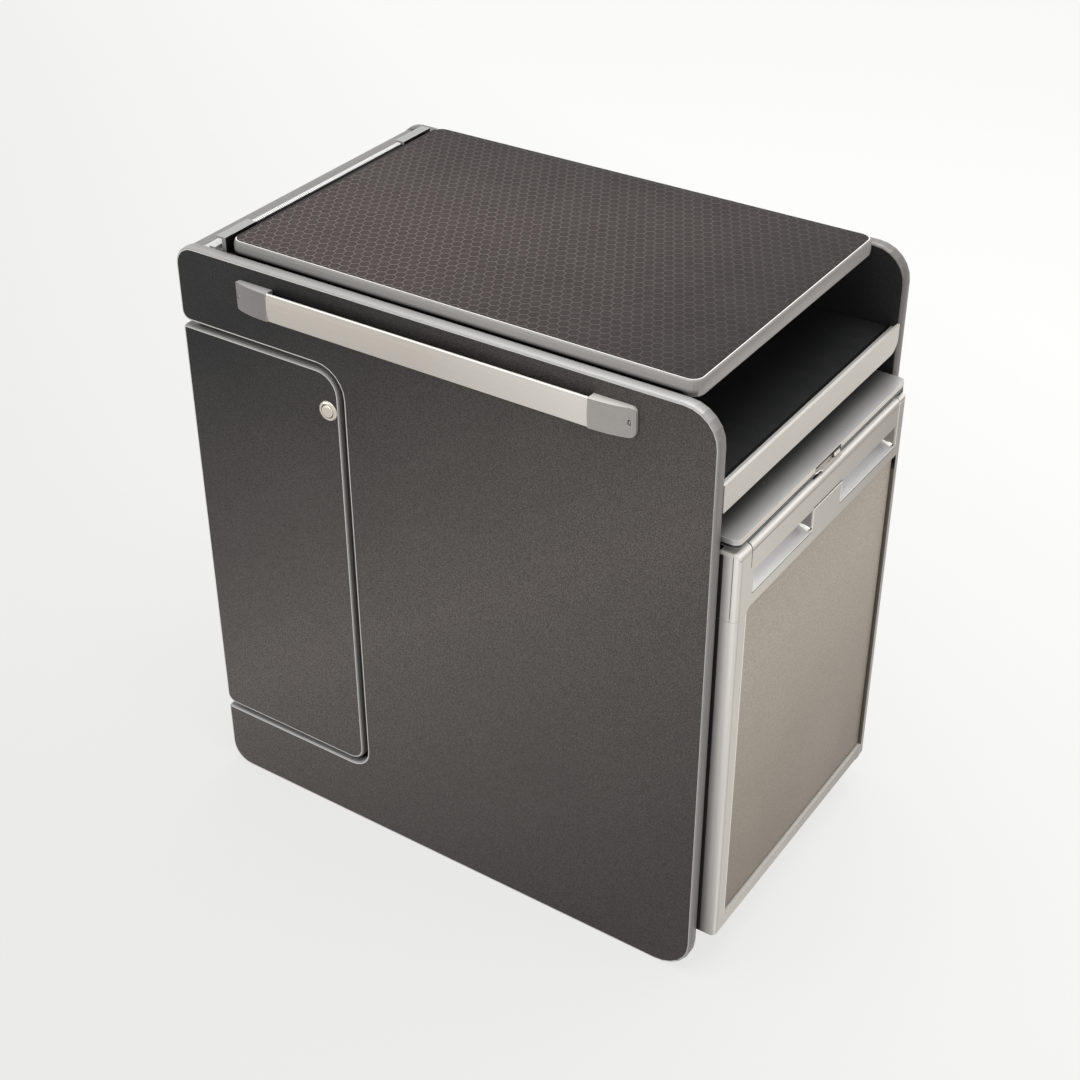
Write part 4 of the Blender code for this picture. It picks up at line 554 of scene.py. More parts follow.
def painted_gap_shade(made):
    # Painted shade: the top rim by the hinge, then near black under the hinge, along the far side and
    # below.
    over(made, times(past(made, "Z", 736), before(made, "X", 66)), (58, 51, 50))
    by_sides = calc("MAXIMUM", before(made, "X", 63.9), past(made, "Y", 397.6))
    # Painted shadow in the gap below the front side, fading upward.
    in_joint = ramp(made, "Z", 723.8, 728.4, 1.0, 0.0)
    gap_shadow = times(in_joint, before(made, "Y", 26), ramp(made, "X", 618, 634, 1.0, 0.5))
    below = calc("MAXIMUM", before(made, "Z", 719.8), gap_shadow)
    return over(made, calc("MAXIMUM", by_sides, below), (10, 10, 10))


# Painted highlight on the rims, and painted shade toward the left end and on the side toward the fridge.
lid_strip = edging_plastic("lid_edging", "Z", 720, 735, LID_TONES, (236, 234, 231), 0.55, 0.1, 0.52)
paint(["lid_edging"], painted_gap_shade(lid_strip))
print("edging on", sum(1 for name in nodes if name.endswith("edging")), "boards")

# %% [markdown]
# ## The lid's honeycomb film
# The lid is covered with a non-slip film. Pale raised lines draw hexagons, each with a darker rim
# and a matt middle. The cells are 11.7 mm apart along the pod. The distance to the nearest cell
# wall comes from two overlapping grids of points: whichever grid's point is nearer owns the spot.

# %% Honeycomb group
CELL_PITCH = 0.0117
HONEYCOMB, given, result = new_group("honeycomb", ["Wall"], Pitch=CELL_PITCH)
scaled = vector("SCALE", given["Position"], Scale=calc("DIVIDE", 1.0, given["Pitch"]))
root = math.sqrt(3)
reaches = []
for offset in (0.0, 0.5):
    moved = vector("ADD", scaled, (offset, offset * root, 0))
    wrapped = vector("WRAP", moved, (0.5, root / 2, 1), (-0.5, -root / 2, -1))
    own = node(HONEYCOMB, "SeparateXYZ", Vector=wrapped).outputs
    x = calc("ABSOLUTE", own["X"])
    y = calc("ABSOLUTE", own["Y"])
    slant = calc("MULTIPLY_ADD", y, root / 2, times(x, 0.5))
    reaches.append(calc("MAXIMUM", x, slant))
plug(result["Wall"], calc("SUBTRACT", 0.5, calc("MINIMUM", *reaches)))
print("honeycomb cells are", round(CELL_PITCH / MM, 1), "mm apart")

# %% [markdown]
# ## The film's finish
# Wear breaks the pale lines up, so a noise thins them in patches. Painted shade darkens the film
# toward the fridge and toward the far side. A thin black border, a little inside the grey strip, is
# painted shade in the gap round the sheet.

# %% Lid film
LID_MIDDLE = {"X": 349, "Y": 210}
FILM_HALF = {"X": 282.3, "Y": 185.5}


def lid_film():
    made, place = finish("lid_film", 0.5, specular=0.12)
    wall = use(HONEYCOMB, place, Pitch=CELL_PITCH)["Wall"]
    line = spread(wall, 0.075, 0.035)
    rim = calc("SUBTRACT", spread(wall, 0.22, 0.13), line)
    grain = use(GRAIN, place, Size=1.05, Softness=0.16)
    drift = use(DRIFT, place, Size=0.05)["Mask"]
    middle = blend(drift, (68, 59, 58), (70, 61, 59))
    speckled = blend(times(grain["Mask"], 0.8), middle, (26, 23, 22))
    rimmed = blend(times(rim, 0.45), speckled, (34, 30, 29))
    patchy = spread(noise(place, 260.0, 2.0), 0.35, 0.6, 0.45, 0.9)
    drawn = blend(times(line, patchy), rimmed, (106, 97, 94))
    # Painted shade toward the fridge and toward the far side.
    right = ramp(made, "X", 240, 640, 0.0, 0.75)
    away = ramp(made, "Y", 180, 400, 0.0, 0.6)
    darkened = blend(calc("MAXIMUM", right, away), drawn, (30, 26, 25))
    # Painted shade in the gap round the sheet: a thin black border.
    outside = []
    for axis, centre in LID_MIDDLE.items():
        off = calc("ABSOLUTE", calc("SUBTRACT", where(made)[axis], mark(axis, centre)))
        outside.append(calc("GREATER_THAN", off, FILM_HALF[axis] * MM))
    border = times(calc("MAXIMUM", *outside), 0.85)
    bordered = blend(border, darkened, (14, 13, 13))
    dust = use(DUST, place, Amount=0.03, Size=0.04)["Mask"]
    dusty = blend(dust, bordered, (170, 165, 160))
    relief = calc("MULTIPLY_ADD", grain["Height"], 0.3, line)
    return cover(made, dusty, spread(line, 0.0, 1.0, 0.5, 0.38), relief, 0.00025, 0.7)


paint(["lid_top_sheet"], lid_film())
print("film of", 2 * FILM_HALF["X"], "x", 2 * FILM_HALF["Y"], "mm")

# %% [markdown]
# ## Metals
# The rail and the lip of the shelf are anodised in a warm champagne tone, the hinge is plain bright
# aluminium, and the lock is satin nickel. They differ in colour, shine and the run of their lines.
# A bar has a painted highlight on top, a tone of its own where it looks up, and the rail is painted
# lighter toward its right end.

# %% Drawn aluminium, nickel and zinc
ALONG_X = (0.02, 1, 1)
ALONG_Y = (1, 0.02, 1)
EVEN = (1, 1, 1)
# Colour of a painted highlight.
PAINTED_HIGHLIGHT = (250, 246, 238)


def drawn_metal(name, dark, light, roughness, across, metallic=1.0, arris=0.0):
    """Metal with fine lines; across is large where the lines are close together."""
    made, place = finish(name, roughness, metallic=metallic)
    lines = use(BRUSHING, place, Across=across, Size=0.5)["Mask"]
    grain = use(GRAIN, place, Size=0.8, Softness=0.3)["Mask"]
    tone = calc("MULTIPLY_ADD", lines, 0.6, times(grain, 0.4))
    # A pale line along the edges: wear, and a painted highlight.
    edge = use(ARRIS, place, Width=0.0008, Amount=arris)["Mask"]
    lined = blend(edge, blend(tone, dark, light), (252, 250, 244))
    shine = spread(tone, 0.0, 1.0, roughness + 0.06, roughness - 0.06)
    return cover(made, lined, shine, lines, 0.00002, 0.3)


# Painted highlight: a paler tone on faces that look up.
def painted_top_highlight(made, tone):
    return over(made, spread(facing(made)["Z"], 0.3, 0.5), tone)


rail_metal = drawn_metal("rail_metal", (192, 186, 177), (207, 201, 192), 0.42, ALONG_X, 0.8, 0.5)
# Painted light: the rail gets paler toward its right end.
over(rail_metal, ramp(rail_metal, "X", 330, 520, 0.0, 0.6), (238, 234, 226))
paint(["rail_bar"], painted_top_highlight(rail_metal, (255, 253, 248)))
hinge_metal = drawn_metal("hinge_metal", (206, 206, 205), (224, 224, 223), 0.34, ALONG_Y, 0.7)
paint(["lid_hinge_profile"], hinge_metal)
nickel = drawn_metal("satin_nickel", (206, 196, 182), (228, 220, 208), 0.25, EVEN, 0.9, 0.4)
paint(["lock_rosette", "lock_button"], nickel)
zinc = drawn_metal("zinc_plate", (150, 151, 153), (176, 177, 178), 0.38, EVEN, arris=0.3)
butts = [name for name in nodes if name.startswith("locker_hinge")]
paint(["lid_hinge_pin", "lock_bolt", "lock_strike", "compressor_tray", "condenser", *butts], zinc)

# %% Lip of the shelf: a champagne face, a painted highlight on its top edge, a grey flange, painted shade behind


def lip_metal():
    made = drawn_metal("lip_metal", (194, 188, 179), (204, 199, 190), 0.42, ALONG_Y, 0.7, 0.3)
    # Painted highlight on the top edge.
    over(made, spread(facing(made)["Z"], 0.7, 0.9), PAINTED_HIGHLIGHT)
    # Behind the face: the grey flange, and painted shade further back where the lid hides it.
    behind = blend(before(made, "X", 661.6), (212, 211, 209), (20, 20, 20))
    return over(made, before(made, "X", 668.1), behind)


paint(["shelf_lip"], lip_metal())
print("metals done, with", len(butts), "hinge leaves in zinc")

# %% [markdown]
# ## Moulded plastics
# The caps of the rail, the blocks of the lid hinge and most of the fridge are moulded. A moulded
# skin has a very fine even texture, which one function makes in any colour and shine. The two caps
# are one plastic, in painted shade on the left and painted light on the right. The hinge blocks are
# painted near black where they face the lid: painted shade in the gap.

# %% Moulded plastic


def moulded(name, colour, shade, roughness, metallic=0.0, coat=0.0, arris=0.0, specular=0.5):
    made, place = finish(name, roughness, metallic, coat, specular)
    grain = use(GRAIN, place, Size=1.0, Softness=0.25)
    drift = use(DRIFT, place, Size=0.15)["Mask"]
    share = calc("MULTIPLY_ADD", drift, 0.4, times(grain["Mask"], 0.4))
    tone = grained(blend(share, colour, shade), grain["Mask"], 0.12)
    # A pale line along the edges: wear, and a painted highlight.
    edge = use(ARRIS, place, Width=0.0008, Amount=arris)["Mask"]
    edged = blend(edge, tone, (236, 234, 229))
    shine = spread(drift, 0.0, 1.0, roughness - 0.03, roughness + 0.05)
    return cover(made, edged, shine, grain["Height"], 0.00004, 0.35)


# One cap plastic in two tones: painted shade on the left cap, painted light on the right.
cap_left = moulded("cap_plastic_painted_shade", (136, 133, 133), (124, 121, 121), 0.42, 0.3, arris=0.6)
paint(["rail_cap_left"], painted_top_highlight(cap_left, (186, 184, 182)))
cap_right = moulded("cap_plastic_painted_light", (172, 168, 165), (160, 156, 153), 0.42, 0.3, arris=0.6)
paint(["rail_cap_right"], painted_top_highlight(cap_right, (216, 213, 209)))
block = moulded("block_plastic", (152, 152, 151), (142, 142, 141), 0.42, arris=0.4)
# Painted shade, near black, on the faces that look toward the lid.
over(block, spread(facing(block)["X"], 0.6, 0.8), (14, 14, 14))
paint(["hinge_block_front", "hinge_block_back"], block)
# The lid's hinge leaf lies in the gap by the hinge and is painted near black: painted shade.
hinge_leaf_shade = moulded("hinge_leaf_shade", (22, 22, 22), (14, 14, 14), 0.6, specular=0.1)
paint(["lid_hinge_leaf"], hinge_leaf_shade)

# %% The fridge's plastics and paints
latch_silver = moulded("latch_silver", (176, 169, 160), (160, 153, 145), 0.3, 0.5, arris=0.4)
paint(["fridge_latch_body", "fridge_latch_button"], latch_silver)
door_core = moulded("door_core", (16, 16, 16), (10, 10, 10), 0.7, specular=0.08)
paint(["fridge_door_core", "fridge_door_plate"], door_core)
bracket_paint = moulded("bracket_paint", (60, 60, 60), (48, 48, 48), 0.4)
paint(["fridge_hinge_top", "fridge_hinge_bottom"], bracket_paint)
paint(["fridge_cabinet"], moulded("cabinet_paint", (52, 52, 53), (44, 44, 45), 0.4))
white = moulded("white_liner", (226, 226, 222), (216, 216, 212), 0.3, coat=0.2)
paint(["fridge_liner", "fridge_door_liner", "thermostat_housing", "fridge_evaporator"], white)
rack_plastic = moulded("rack_plastic", (220, 222, 222), (206, 208, 210), 0.2)
paint(["fridge_rack_upper", "fridge_rack_lower"], rack_plastic)
shelf_plastic = moulded("shelf_plastic", (222, 222, 220), (212, 212, 210), 0.3)
paint(["fridge_shelf_upper", "fridge_shelf_lower"], shelf_plastic)
paint(["thermostat_dial"], moulded("dial_plastic", (120, 121, 122), (108, 108, 110), 0.35))
paint(["fridge_door_seal"], moulded("seal_rubber", (120, 120, 120), (106, 106, 106), 0.6))
paint(["compressor"], moulded("black_enamel", (22, 22, 23), (14, 14, 15), 0.25, coat=0.4))
dark_plastic = moulded("dark_plastic", (38, 38, 40), (30, 30, 31), 0.45)
paint(["compressor_electronics", "lock_case"], dark_plastic)
print("materials so far:", len(bpy.data.materials))

# %% [markdown]
# ## The fridge's frame
# The frame is silver plastic with fine seams. It carries painted shade toward its right end, on its
# side and in its gaps and recesses, and painted highlights on its corner, crown and edges, in lines
# that are too thin to model. They could be drawn on an unwrapped image, but a table of measured
# places is easier to check against the photograph. A row names the faces it is for, its colour, and
# the spans of pod millimetres that it covers. A later row lies over an earlier one.

# %% Seams, painted shade and painted highlights of the frame
FRAME_MARKS = [
    # Fridge side: painted shade on the return behind the corner, and the seam of the corner's profile.
    ("side", (60, 58, 56), ("X", 660, 672.3)),
    ("side", (120, 116, 112), ("X", 682.6, 683.5), ("Z", 488, 566)),
    # Front: where the corner's profile ends, and painted highlights on both sides of the insert.
    ("front", (168, 163, 156), ("Y", 26.2, 27.6), ("Z", 50, 566)),
    ("front", (238, 234, 228), ("Y", 41.2, 42.8), ("Z", 72, 484)),
    ("front", (232, 228, 222), ("Y", 388.8, 390.2), ("Z", 72, 489)),
    # Head: painted shade on the scoops' end walls and under the crown; a painted highlight on the crown.
    ("wall", (140, 136, 132), ("Y", 150, 384), ("Z", 504.2, 532)),
    ("front", (176, 170, 162), ("Z", 555.5, 558)),
    ("crown", (246, 242, 236)),
    # Seams at both ends of the band; the right one is a painted highlight under a dark top.
    ("head", (18, 18, 18), ("Y", 45.6, 46.9), ("Z", 537, 566)),
    ("head", (250, 247, 242), ("Y", 383.4, 384.6), ("Z", 504, 559)),
    ("head", (30, 30, 30), ("Y", 383.4, 384.4), ("Z", 559, 566)),
    # Outline of the plate between the grips: a dark joint along its top, painted highlights on its edges.
    ("front", (26, 25, 24), ("Y", 182, 247), ("Z", 530.8, 533.2)),
    ("front", (250, 247, 242), ("Y", 183, 246), ("Z", 529.5, 530.8)),
    ("front", (228, 224, 218), ("Y", 181.6, 182.6), ("Z", 504, 530)),
    ("front", (228, 224, 218), ("Y", 246.2, 247.2), ("Z", 504, 530)),
    # Top: painted shade, near black, in the gap behind the front edge.
    ("behind", (20, 20, 20), ("Z", 564.6, 570)),
    # Opening's right wall: painted shade, darkest at its joint with the head; ledge below: painted
    # highlight.
    ("wall", (118, 112, 104), ("Y", 385, 402), ("Z", 60, 470)),
    ("joint", (24, 23, 22), ("Y", 385, 402), ("Z", 470, 490)),
    ("ledge", (244, 240, 234), ("Z", 50, 80)),
]


def frame_faces(made):
    """Masks for the faces that the table names."""
    look = facing(made)
    wall = calc("LESS_THAN", look["Y"], -0.5)
    # The painted shade behind the front edge begins 16 mm further back over the left corner's cap.
    limit = calc("MULTIPLY_ADD", within(made, "Y", 10, 46), -16 * MM, mark("X", 684.4))
    return {
        "front": calc("GREATER_THAN", look["X"], 0.8),
        "side": spread(look["Y"], -0.6, -0.85),
        "wall": wall,
        "crown": ramp(made, "Z", 559.5, 562),
        "head": spread(look["X"], -0.2, 0.2),
        "behind": calc("LESS_THAN", where(made)["X"], limit),
        "joint": times(wall, ramp(made, "Z", 440, 478, 0.6, 1.0)),
        "ledge": calc("GREATER_THAN", look["Z"], 0.5),
    }


# %% Fridge frame


def frame_silver():
    made = moulded("fridge_silver", (199, 193, 183), (188, 182, 172), 0.34, 0.35, arris=0.2)
    look = facing(made)
    faces = frame_faces(made)
    # Painted shade: the frame gets darker toward its right end.
    over(made, ramp(made, "Y", 60, 420, 0.0, 0.9), (136, 128, 121))
    # Painted highlight on the rounded front corner.
    corner = spread(times(look["X"], look["Y"]), -0.15, -0.4)
    over(made, corner, (218, 213, 207))
    # Painted light and shade on the side: darker low down and toward the board, paler high up and in front.
    up = ramp(made, "Z", 60, 540)
    rear = blend(up, (118, 117, 116), (188, 187, 186))
    fore = blend(up, (182, 179, 176), (250, 247, 243))
    over(made, faces["side"], blend(ramp(made, "X", 672, 681), rear, fore))
    for face, colour, *spans in FRAME_MARKS:
        inside = [within(made, axis, low, high) for axis, low, high in spans]
        over(made, times(faces[face], *inside), colour)
    return made


paint(["fridge_door_frame", "fridge_door_top", "fridge_door_band"], frame_silver())
print("frame with", len(FRAME_MARKS), "lines and shades")

# %% [markdown]
# ## The fridge's top plate
# A folded plate in silver lacquer lies over the door. A painted reflection of the room on it fades
# toward its back, so it falls off to black there. Its rounded front edge has a painted highlight,
# the brightest line of the fridge, and the fold under it is painted shade. A few specks of dust
# lie on it.

# %% Plate lacquer


def plate_lacquer():
    made, place = finish("plate_lacquer", 0.33, metallic=0.4, coat=0.15)
    grain = use(GRAIN, place, Size=1.2, Softness=0.2)
    drift = use(DRIFT, place, Size=0.1)["Mask"]
    tone = blend(drift, (200, 199, 199), (210, 208, 207))
    # Painted reflection, fading to near black toward the back.
    faded = blend(ramp(made, "X", 641, 688), (22, 22, 22), tone)
    faded = grained(faded, grain["Mask"], 0.12)
    look = facing(made)
    front = blend(spread(look["X"], 0.85, 0.95), faded, (200, 191, 181))
    # Painted highlight on the rounded front edge.
    round_edge = spread(times(look["X"], look["Z"]), 0.1, 0.3)
    edged = blend(round_edge, front, PAINTED_HIGHLIGHT)
    # Painted shade on the fold under the front edge.
    shaded_fold = blend(before(made, "Z", 575), edged, (18, 18, 18))
    # A strong pale edge line: wear, and a painted highlight.
    arris = use(ARRIS, place, Width=0.001, Amount=0.9)["Mask"]
    specks = use(SPECKS, place, Spacing=0.028, Share=0.3)["Mask"]
    lined = blend(arris, shaded_fold, (246, 242, 236))
    dusty = blend(specks, lined, (236, 232, 226))
    return cover(made, dusty, spread(drift, 0.0, 1.0, 0.3, 0.38), grain["Height"], 0.00003, 0.4)


paint(["fridge_top_plate"], plate_lacquer())

# %% [markdown]
# ## The door's insert
# A taupe decor board is slid into the frame. It has a fine grain, painted light that makes it paler
# toward the top, and a line of painted shade where it enters the frame below and on the right.

# %% Insert decor


def insert_decor():
    made, place = finish("insert_decor", 0.36, specular=0.25)
    grain = use(GRAIN, place, Size=1.1, Softness=0.18)
    drift = use(DRIFT, place, Size=0.16)["Mask"]
    # Painted light: paler toward the top.
    shade = blend(ramp(made, "Z", 60, 400), (106, 91, 77), (160, 148, 134))
    tone = blend(times(drift, 0.3), shade, (152, 139, 126))
    speckled = grained(tone, grain["Mask"], 0.26)
    # Painted shade where the board enters the frame below and on the right.
    entry_shade = calc("MAXIMUM", before(made, "Z", 73), past(made, "Y", 387.4))
    lined = blend(entry_shade, speckled, (70, 64, 58))
    return cover(made, lined, spread(grain["Mask"], 0.0, 1.0, 0.28, 0.36), grain["Height"], 0.00003, 0.3)


paint(["fridge_door_insert"], insert_decor())

# %% [markdown]
# ## The floor's finish
# The floor is nearly white where it is seen, so that only the pod's soft shadow is left on it. It
# glows a little for that, more toward the back, and fades into the world before it ends, so that no
# edge shows from any side. Light that only bounces meets a plain pale floor that doesn't glow.

# %% Floor finish
FLOOR_SEEN = (0.13, 0.13, 0.13, 1)
GLOW_NEAR = (0.65, 0.65, 0.645, 1)
GLOW_FAR = (0.86, 0.86, 0.84, 1)
GLOW_HORIZON = (0.845, 0.845, 0.83, 1)
NO_GLOW = (0, 0, 0, 1)


def floor_paint():
    made, place = finish("studio_paint", 0.9, specular=0.0)
    drift = use(DRIFT, place, Size=1.5)["Mask"]
    seen = seen_ray(made.node_tree)
    pale = blend(drift, (232, 232, 230), (238, 238, 236))
    plug(shader_of(made)["Base Color"], blend(seen, pale, FLOOR_SEEN))
    depth = calc("MULTIPLY_ADD", where(made)["X"], 0.35, where(made)["Y"])
    glow = blend(spread(depth, -1.1, 1.5), GLOW_NEAR, GLOW_FAR)
    faded = spread(vector("LENGTH", place), 4.2, 6.5)
    glow = blend(faded, glow, GLOW_HORIZON)
    plug(shader_of(made)["Emission Color"], blend(seen, NO_GLOW, glow))
    plug(shader_of(made)["Emission Strength"], 1.0)
    return made


floor.data.materials.append(floor_paint())
print("materials so far:", len(bpy.data.materials))

# %% [markdown]
# ## Building small pieces
# The fine parts that a solid model leaves out are meshes of their own. Nearly all of them are lofts:
# a row of matching rings joined by faces and closed at both ends. A wire, a turned knob and a cut
# plate differ only in how their rings are laid out. Each piece is set riding on the body it is
# fixed to, so it follows when a door or the lid opens.

# %% Lofts, wires, turned shapes, plates and blocks


def add_loft(shape, rings):
    """Closed skin over rings of points."""
    rows = [[shape.verts.new(point) for point in ring] for ring in rings]
    count = len(rows[0])
    for low, high in zip(rows, rows[1:]):
        for k in range(count):
            after = (k + 1) % count
            shape.faces.new((low[k], low[after], high[after], high[k]))
    shape.faces.new(rows[0][::-1])
    shape.faces.new(rows[-1])


def circle(count):
    """Directions round a circle, as pairs."""
    turns = [2 * math.pi * k / count for k in range(count)]
    return [(math.cos(turn), math.sin(turn)) for turn in turns]


def add_rod(shape, points, radius, sides=8):
    """Round wire through pod points, all in millimetres."""
    path = [at(*point) for point in points]
    rings = []
    side = (path[1] - path[0]).orthogonal()
    for index, point in enumerate(path):
        along = (path[min(index + 1, len(path) - 1)] - path[max(index - 1, 0)]).normalized()
        side = (side - along * side.dot(along)).normalized()
        up = along.cross(side)
        rings.append([point + (side * cos + up * sin) * radius * MM for cos, sin in circle(sides)])
    add_loft(shape, rings)


def add_turned(shape, centre, axis, profile, sides=32):
    """Turned shape; the profile's pairs are radius and distance along the axis."""
    turn = Vector(axis).to_track_quat("Z", "Y").to_matrix()
    middle = at(*centre)
    rings = []
    for radius, along in profile:
        ring = [Vector((cos * radius, sin * radius, along)) for cos, sin in circle(sides)]
        rings.append([middle + turn @ point * MM for point in ring])
    add_loft(shape, rings)


def rounded(low, high, radius, steps=5):
    """Outline of a rectangle with round corners."""
    left, right = low[0] + radius, high[0] - radius
    bottom, top = low[1] + radius, high[1] - radius
    outline = []
    for index, (u, v) in enumerate([(right, top), (left, top), (left, bottom), (right, bottom)]):
        for step in range(steps + 1):
            turn = math.pi / 2 * (index + step / steps)
            outline.append((u + radius * math.cos(turn), v + radius * math.sin(turn)))
    return outline


def add_block(shape, low, high, radius):
    """Block between two pod corners with eased edges."""
    low, high = at(*low), at(*high)
    matrix = Matrix.Translation((low + high) / 2) @ Matrix.Diagonal((*(high - low), 1))
    made = bmesh.ops.create_cube(shape, size=1, matrix=matrix)
    edges = list({edge for vertex in made["verts"] for edge in vertex.link_edges})
    bmesh.ops.bevel(shape, geom=edges, offset=radius * MM, segments=2, profile=0.5, affect="EDGES")


# %% Pieces that ride on a body


def put(name, shape, material, body, angle=40):
    """Turns a shape into a piece that rides on a body."""
    bmesh.ops.recalc_face_normals(shape, faces=shape.faces)
    mesh = bpy.data.meshes.new(name)
    shape.to_mesh(mesh)
    shape.free()
    mesh.materials.append(material)
    mesh.shade_smooth()
    mesh.set_sharp_from_angle(angle=math.radians(angle))
    piece = add_object(name, mesh)
    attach(piece, body)
    return piece


def put_rod(name, points, radius, material, body, sides=8, angle=40):
    """One wire as a piece of its own."""
    shape = bmesh.new()
    add_rod(shape, points, radius, sides)
    return put(name, shape, material, body, angle)


def put_blocks(name, corners, radius, material, body):
    """One or more blocks as a piece, from pairs of corners."""
    shape = bmesh.new()
    for low, high in corners:
        add_block(shape, low, high, radius)
    return put(name, shape, material, body)


# %% [markdown]
# ## Eased edges
# A solid model leaves every edge knife sharp, and real edges never are. The round solids are shaded
# smooth, and a narrow bevel on the pieces that catch the light draws a soft line along their edges.
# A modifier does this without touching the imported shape.

# %% Smooth shading and eased edges
SMOOTH_BELOW, EASED_ABOVE = math.radians(32), math.radians(40)
EASED = {
    "fridge_top_plate": 1.2,
    "rail_bar": 0.6,
    "rail_cap_left": 0.6,
    "rail_cap_right": 0.6,
    "shelf_lip": 0.3,
    "lid_hinge_profile": 0.3,
    "hinge_block_front": 0.4,
    "hinge_block_back": 0.4,
    "fridge_latch_body": 0.4,
    "fridge_hinge_top": 0.4,
    "fridge_door_insert": 0.5,
}

for item in nodes.values():
    item.data.shade_smooth()
    item.data.set_sharp_from_angle(angle=SMOOTH_BELOW)
for name, width in EASED.items():
    bevel = nodes[name].modifiers.new("eased edges", "BEVEL")
    bevel.width = width * MM
    bevel.segments = 2
    bevel.limit_method = "ANGLE"
    bevel.angle_limit = EASED_ABOVE
    bevel.harden_normals = True
print("eased", len(EASED), "pieces")

# %% [markdown]
# ## Small finishes
# The small pieces need a few finishes of their own: a black for painted shade in the gap by the
# hinge, a dark for slots and seams that is also painted shade in narrow gaps, a near-white mirror
# finish for painted highlights, screws and coated wire. Each is a variation of the moulded plastic or
# the drawn metal above. The lining of the finger grips is pale, painted light, and falls into painted
# shade toward its right end.

# %% Finishes of the small pieces


def lining_finish():
    made = moulded("grip_lining", (234, 233, 233), (224, 223, 223), 0.3, 0.3)
    # Painted shade toward the right end of each grip.
    left = ramp(made, "Y", 60, 178)
    right = ramp(made, "Y", 200, 376, 0.15, 1.0)
    share = node(made.node_tree, "Mix", Factor=past(made, "Y", 215), A=left, B=right).outputs[0]
    return over(made, share, (192, 191, 191))


grip_lining = lining_finish()
# Black for the strip in the gap by the hinge: painted shade.
gap_shade = moulded("gap_shade_black", (14, 14, 14), (8, 8, 8), 0.7, specular=0.06)
# Dark of slots, seams and ticks, also used as painted shade in narrow gaps.
dark_and_gap_shade = moulded("dark_and_gap_shade", (14, 14, 14), (9, 9, 9), 0.8, specular=0.06)
plug_plastic = moulded("plug_plastic", (186, 184, 182), (172, 170, 168), 0.4)
# Near-white mirror finish: painted highlights on small rods and edges.
painted_highlight_line = moulded("painted_highlight_line", (252, 250, 246), (244, 242, 238), 0.18, 0.95)
screw_steel = drawn_metal("screw_steel", (168, 169, 170), (196, 197, 198), 0.3, EVEN, 0.9)
wire_white = moulded("coated_wire", (232, 232, 228), (220, 220, 216), 0.28, coat=0.3)
print("materials so far:", len(bpy.data.materials))

# %% [markdown]
# ## Lid hinge sleeves
# In the photograph the hinge shows as one pale strip with fine ribs across it. A thin ribbed sleeve
# lies over the top of every knuckle. The sleeves of the fixed knuckles stay on the pod and the ones
# between them turn with the lid, so the hinge still works. The finish darkens the grooves, because
# they are too fine for the lamps to do so. A soft black strip closes the gap between the sleeves
# and the lid, painted black as the shade in that gap.

# %% Ribbed metal
KNUCKLE_FROM, KNUCKLE_TO = 72.6, 336.3
KNUCKLES = 11
RIBS = 8
KNUCKLE_SPAN = (KNUCKLE_TO - KNUCKLE_FROM) / KNUCKLES


def ribbed_metal():
    """Bright ribs with dark grooves between them, eight to each knuckle of the hinge."""
    made = drawn_metal("ribbed_aluminium", (226, 226, 223), (242, 242, 239), 0.34, EVEN, 0.3)
    from_start = calc("SUBTRACT", where(made)["Y"], mark("Y", KNUCKLE_FROM))
    turn = calc("FRACT", calc("DIVIDE", from_start, KNUCKLE_SPAN / RIBS * MM))
    groove = spread(calc("ABSOLUTE", calc("SUBTRACT", turn, 0.5)), 0.22, 0.42)
    return over(made, groove, (128, 127, 125))


ribbed = ribbed_metal()
print("one rib every", round(KNUCKLE_SPAN / RIBS, 2), "mm")

# %% Ribbed sleeves and gasket
HINGE_AXIS = (48, 730.5)
SLEEVE_RADIUS = 4.2
GROOVE_RADIUS = 3.98
SLEEVE_INSIDE = 3.86
KNUCKLE_GAP = 0.05
RIB_SHAPE = [(0.04, GROOVE_RADIUS), (0.14, SLEEVE_RADIUS), (0.84, SLEEVE_RADIUS), (0.94, GROOVE_RADIUS)]


def sleeve_ring(y, radius):
    """Ring across a sleeve: the outside from front to back, then the inside back again."""
    turns = [math.radians(168 - 13 * k) for k in range(11)]
    outside = [(turn, radius) for turn in turns]
    inside = [(turn, SLEEVE_INSIDE) for turn in reversed(turns)]
    x, z = HINGE_AXIS
    return [at(x + r * math.cos(turn), y, z + r * math.sin(turn)) for turn, r in outside + inside]


def add_sleeve(shape, start, end):
    pitch = (end - start) / RIBS
    lows = [start + k * pitch for k in range(RIBS)]
    add_loft(shape, [sleeve_ring(low + share * pitch, r) for low in lows for share, r in RIB_SHAPE])


for body, first in (("pod", 0), ("lid", 1)):
    sleeves = bmesh.new()
    for k in range(first, KNUCKLES, 2):
        start = KNUCKLE_FROM + k * KNUCKLE_SPAN
        add_sleeve(sleeves, start + KNUCKLE_GAP, start + KNUCKLE_SPAN - KNUCKLE_GAP)
    put("hinge_sleeves_" + body, sleeves, ribbed, body, angle=30)
# The black strip along the lid's hinge edge is painted shade for the gap.
gasket = [((53.9, 72.8, 733.7), (61.4, 336.1, 734.7))]
put_blocks("hinge_gasket", gasket, 0.3, gap_shade, "lid")
print("sleeves are", round(KNUCKLE_SPAN, 1), "mm long")

# %% [markdown]
# ## Rail plugs, screws, a dark joint and painted shade
# Each cap of the rail has a slot with a pale plug standing in it, and painted shade in the slot round
# the plug. The inside fittings are held by countersunk screws with a round socket. A thin dark joint
# shows where the end panel's edging meets the front panel's, and a line of painted shade runs along
# the shelf's lip.

# %% Plugs, screws, joint and painted shade
PLUG_HEIGHT = 690.25
BUTT_LEVELS = (132, 168, 555, 591)


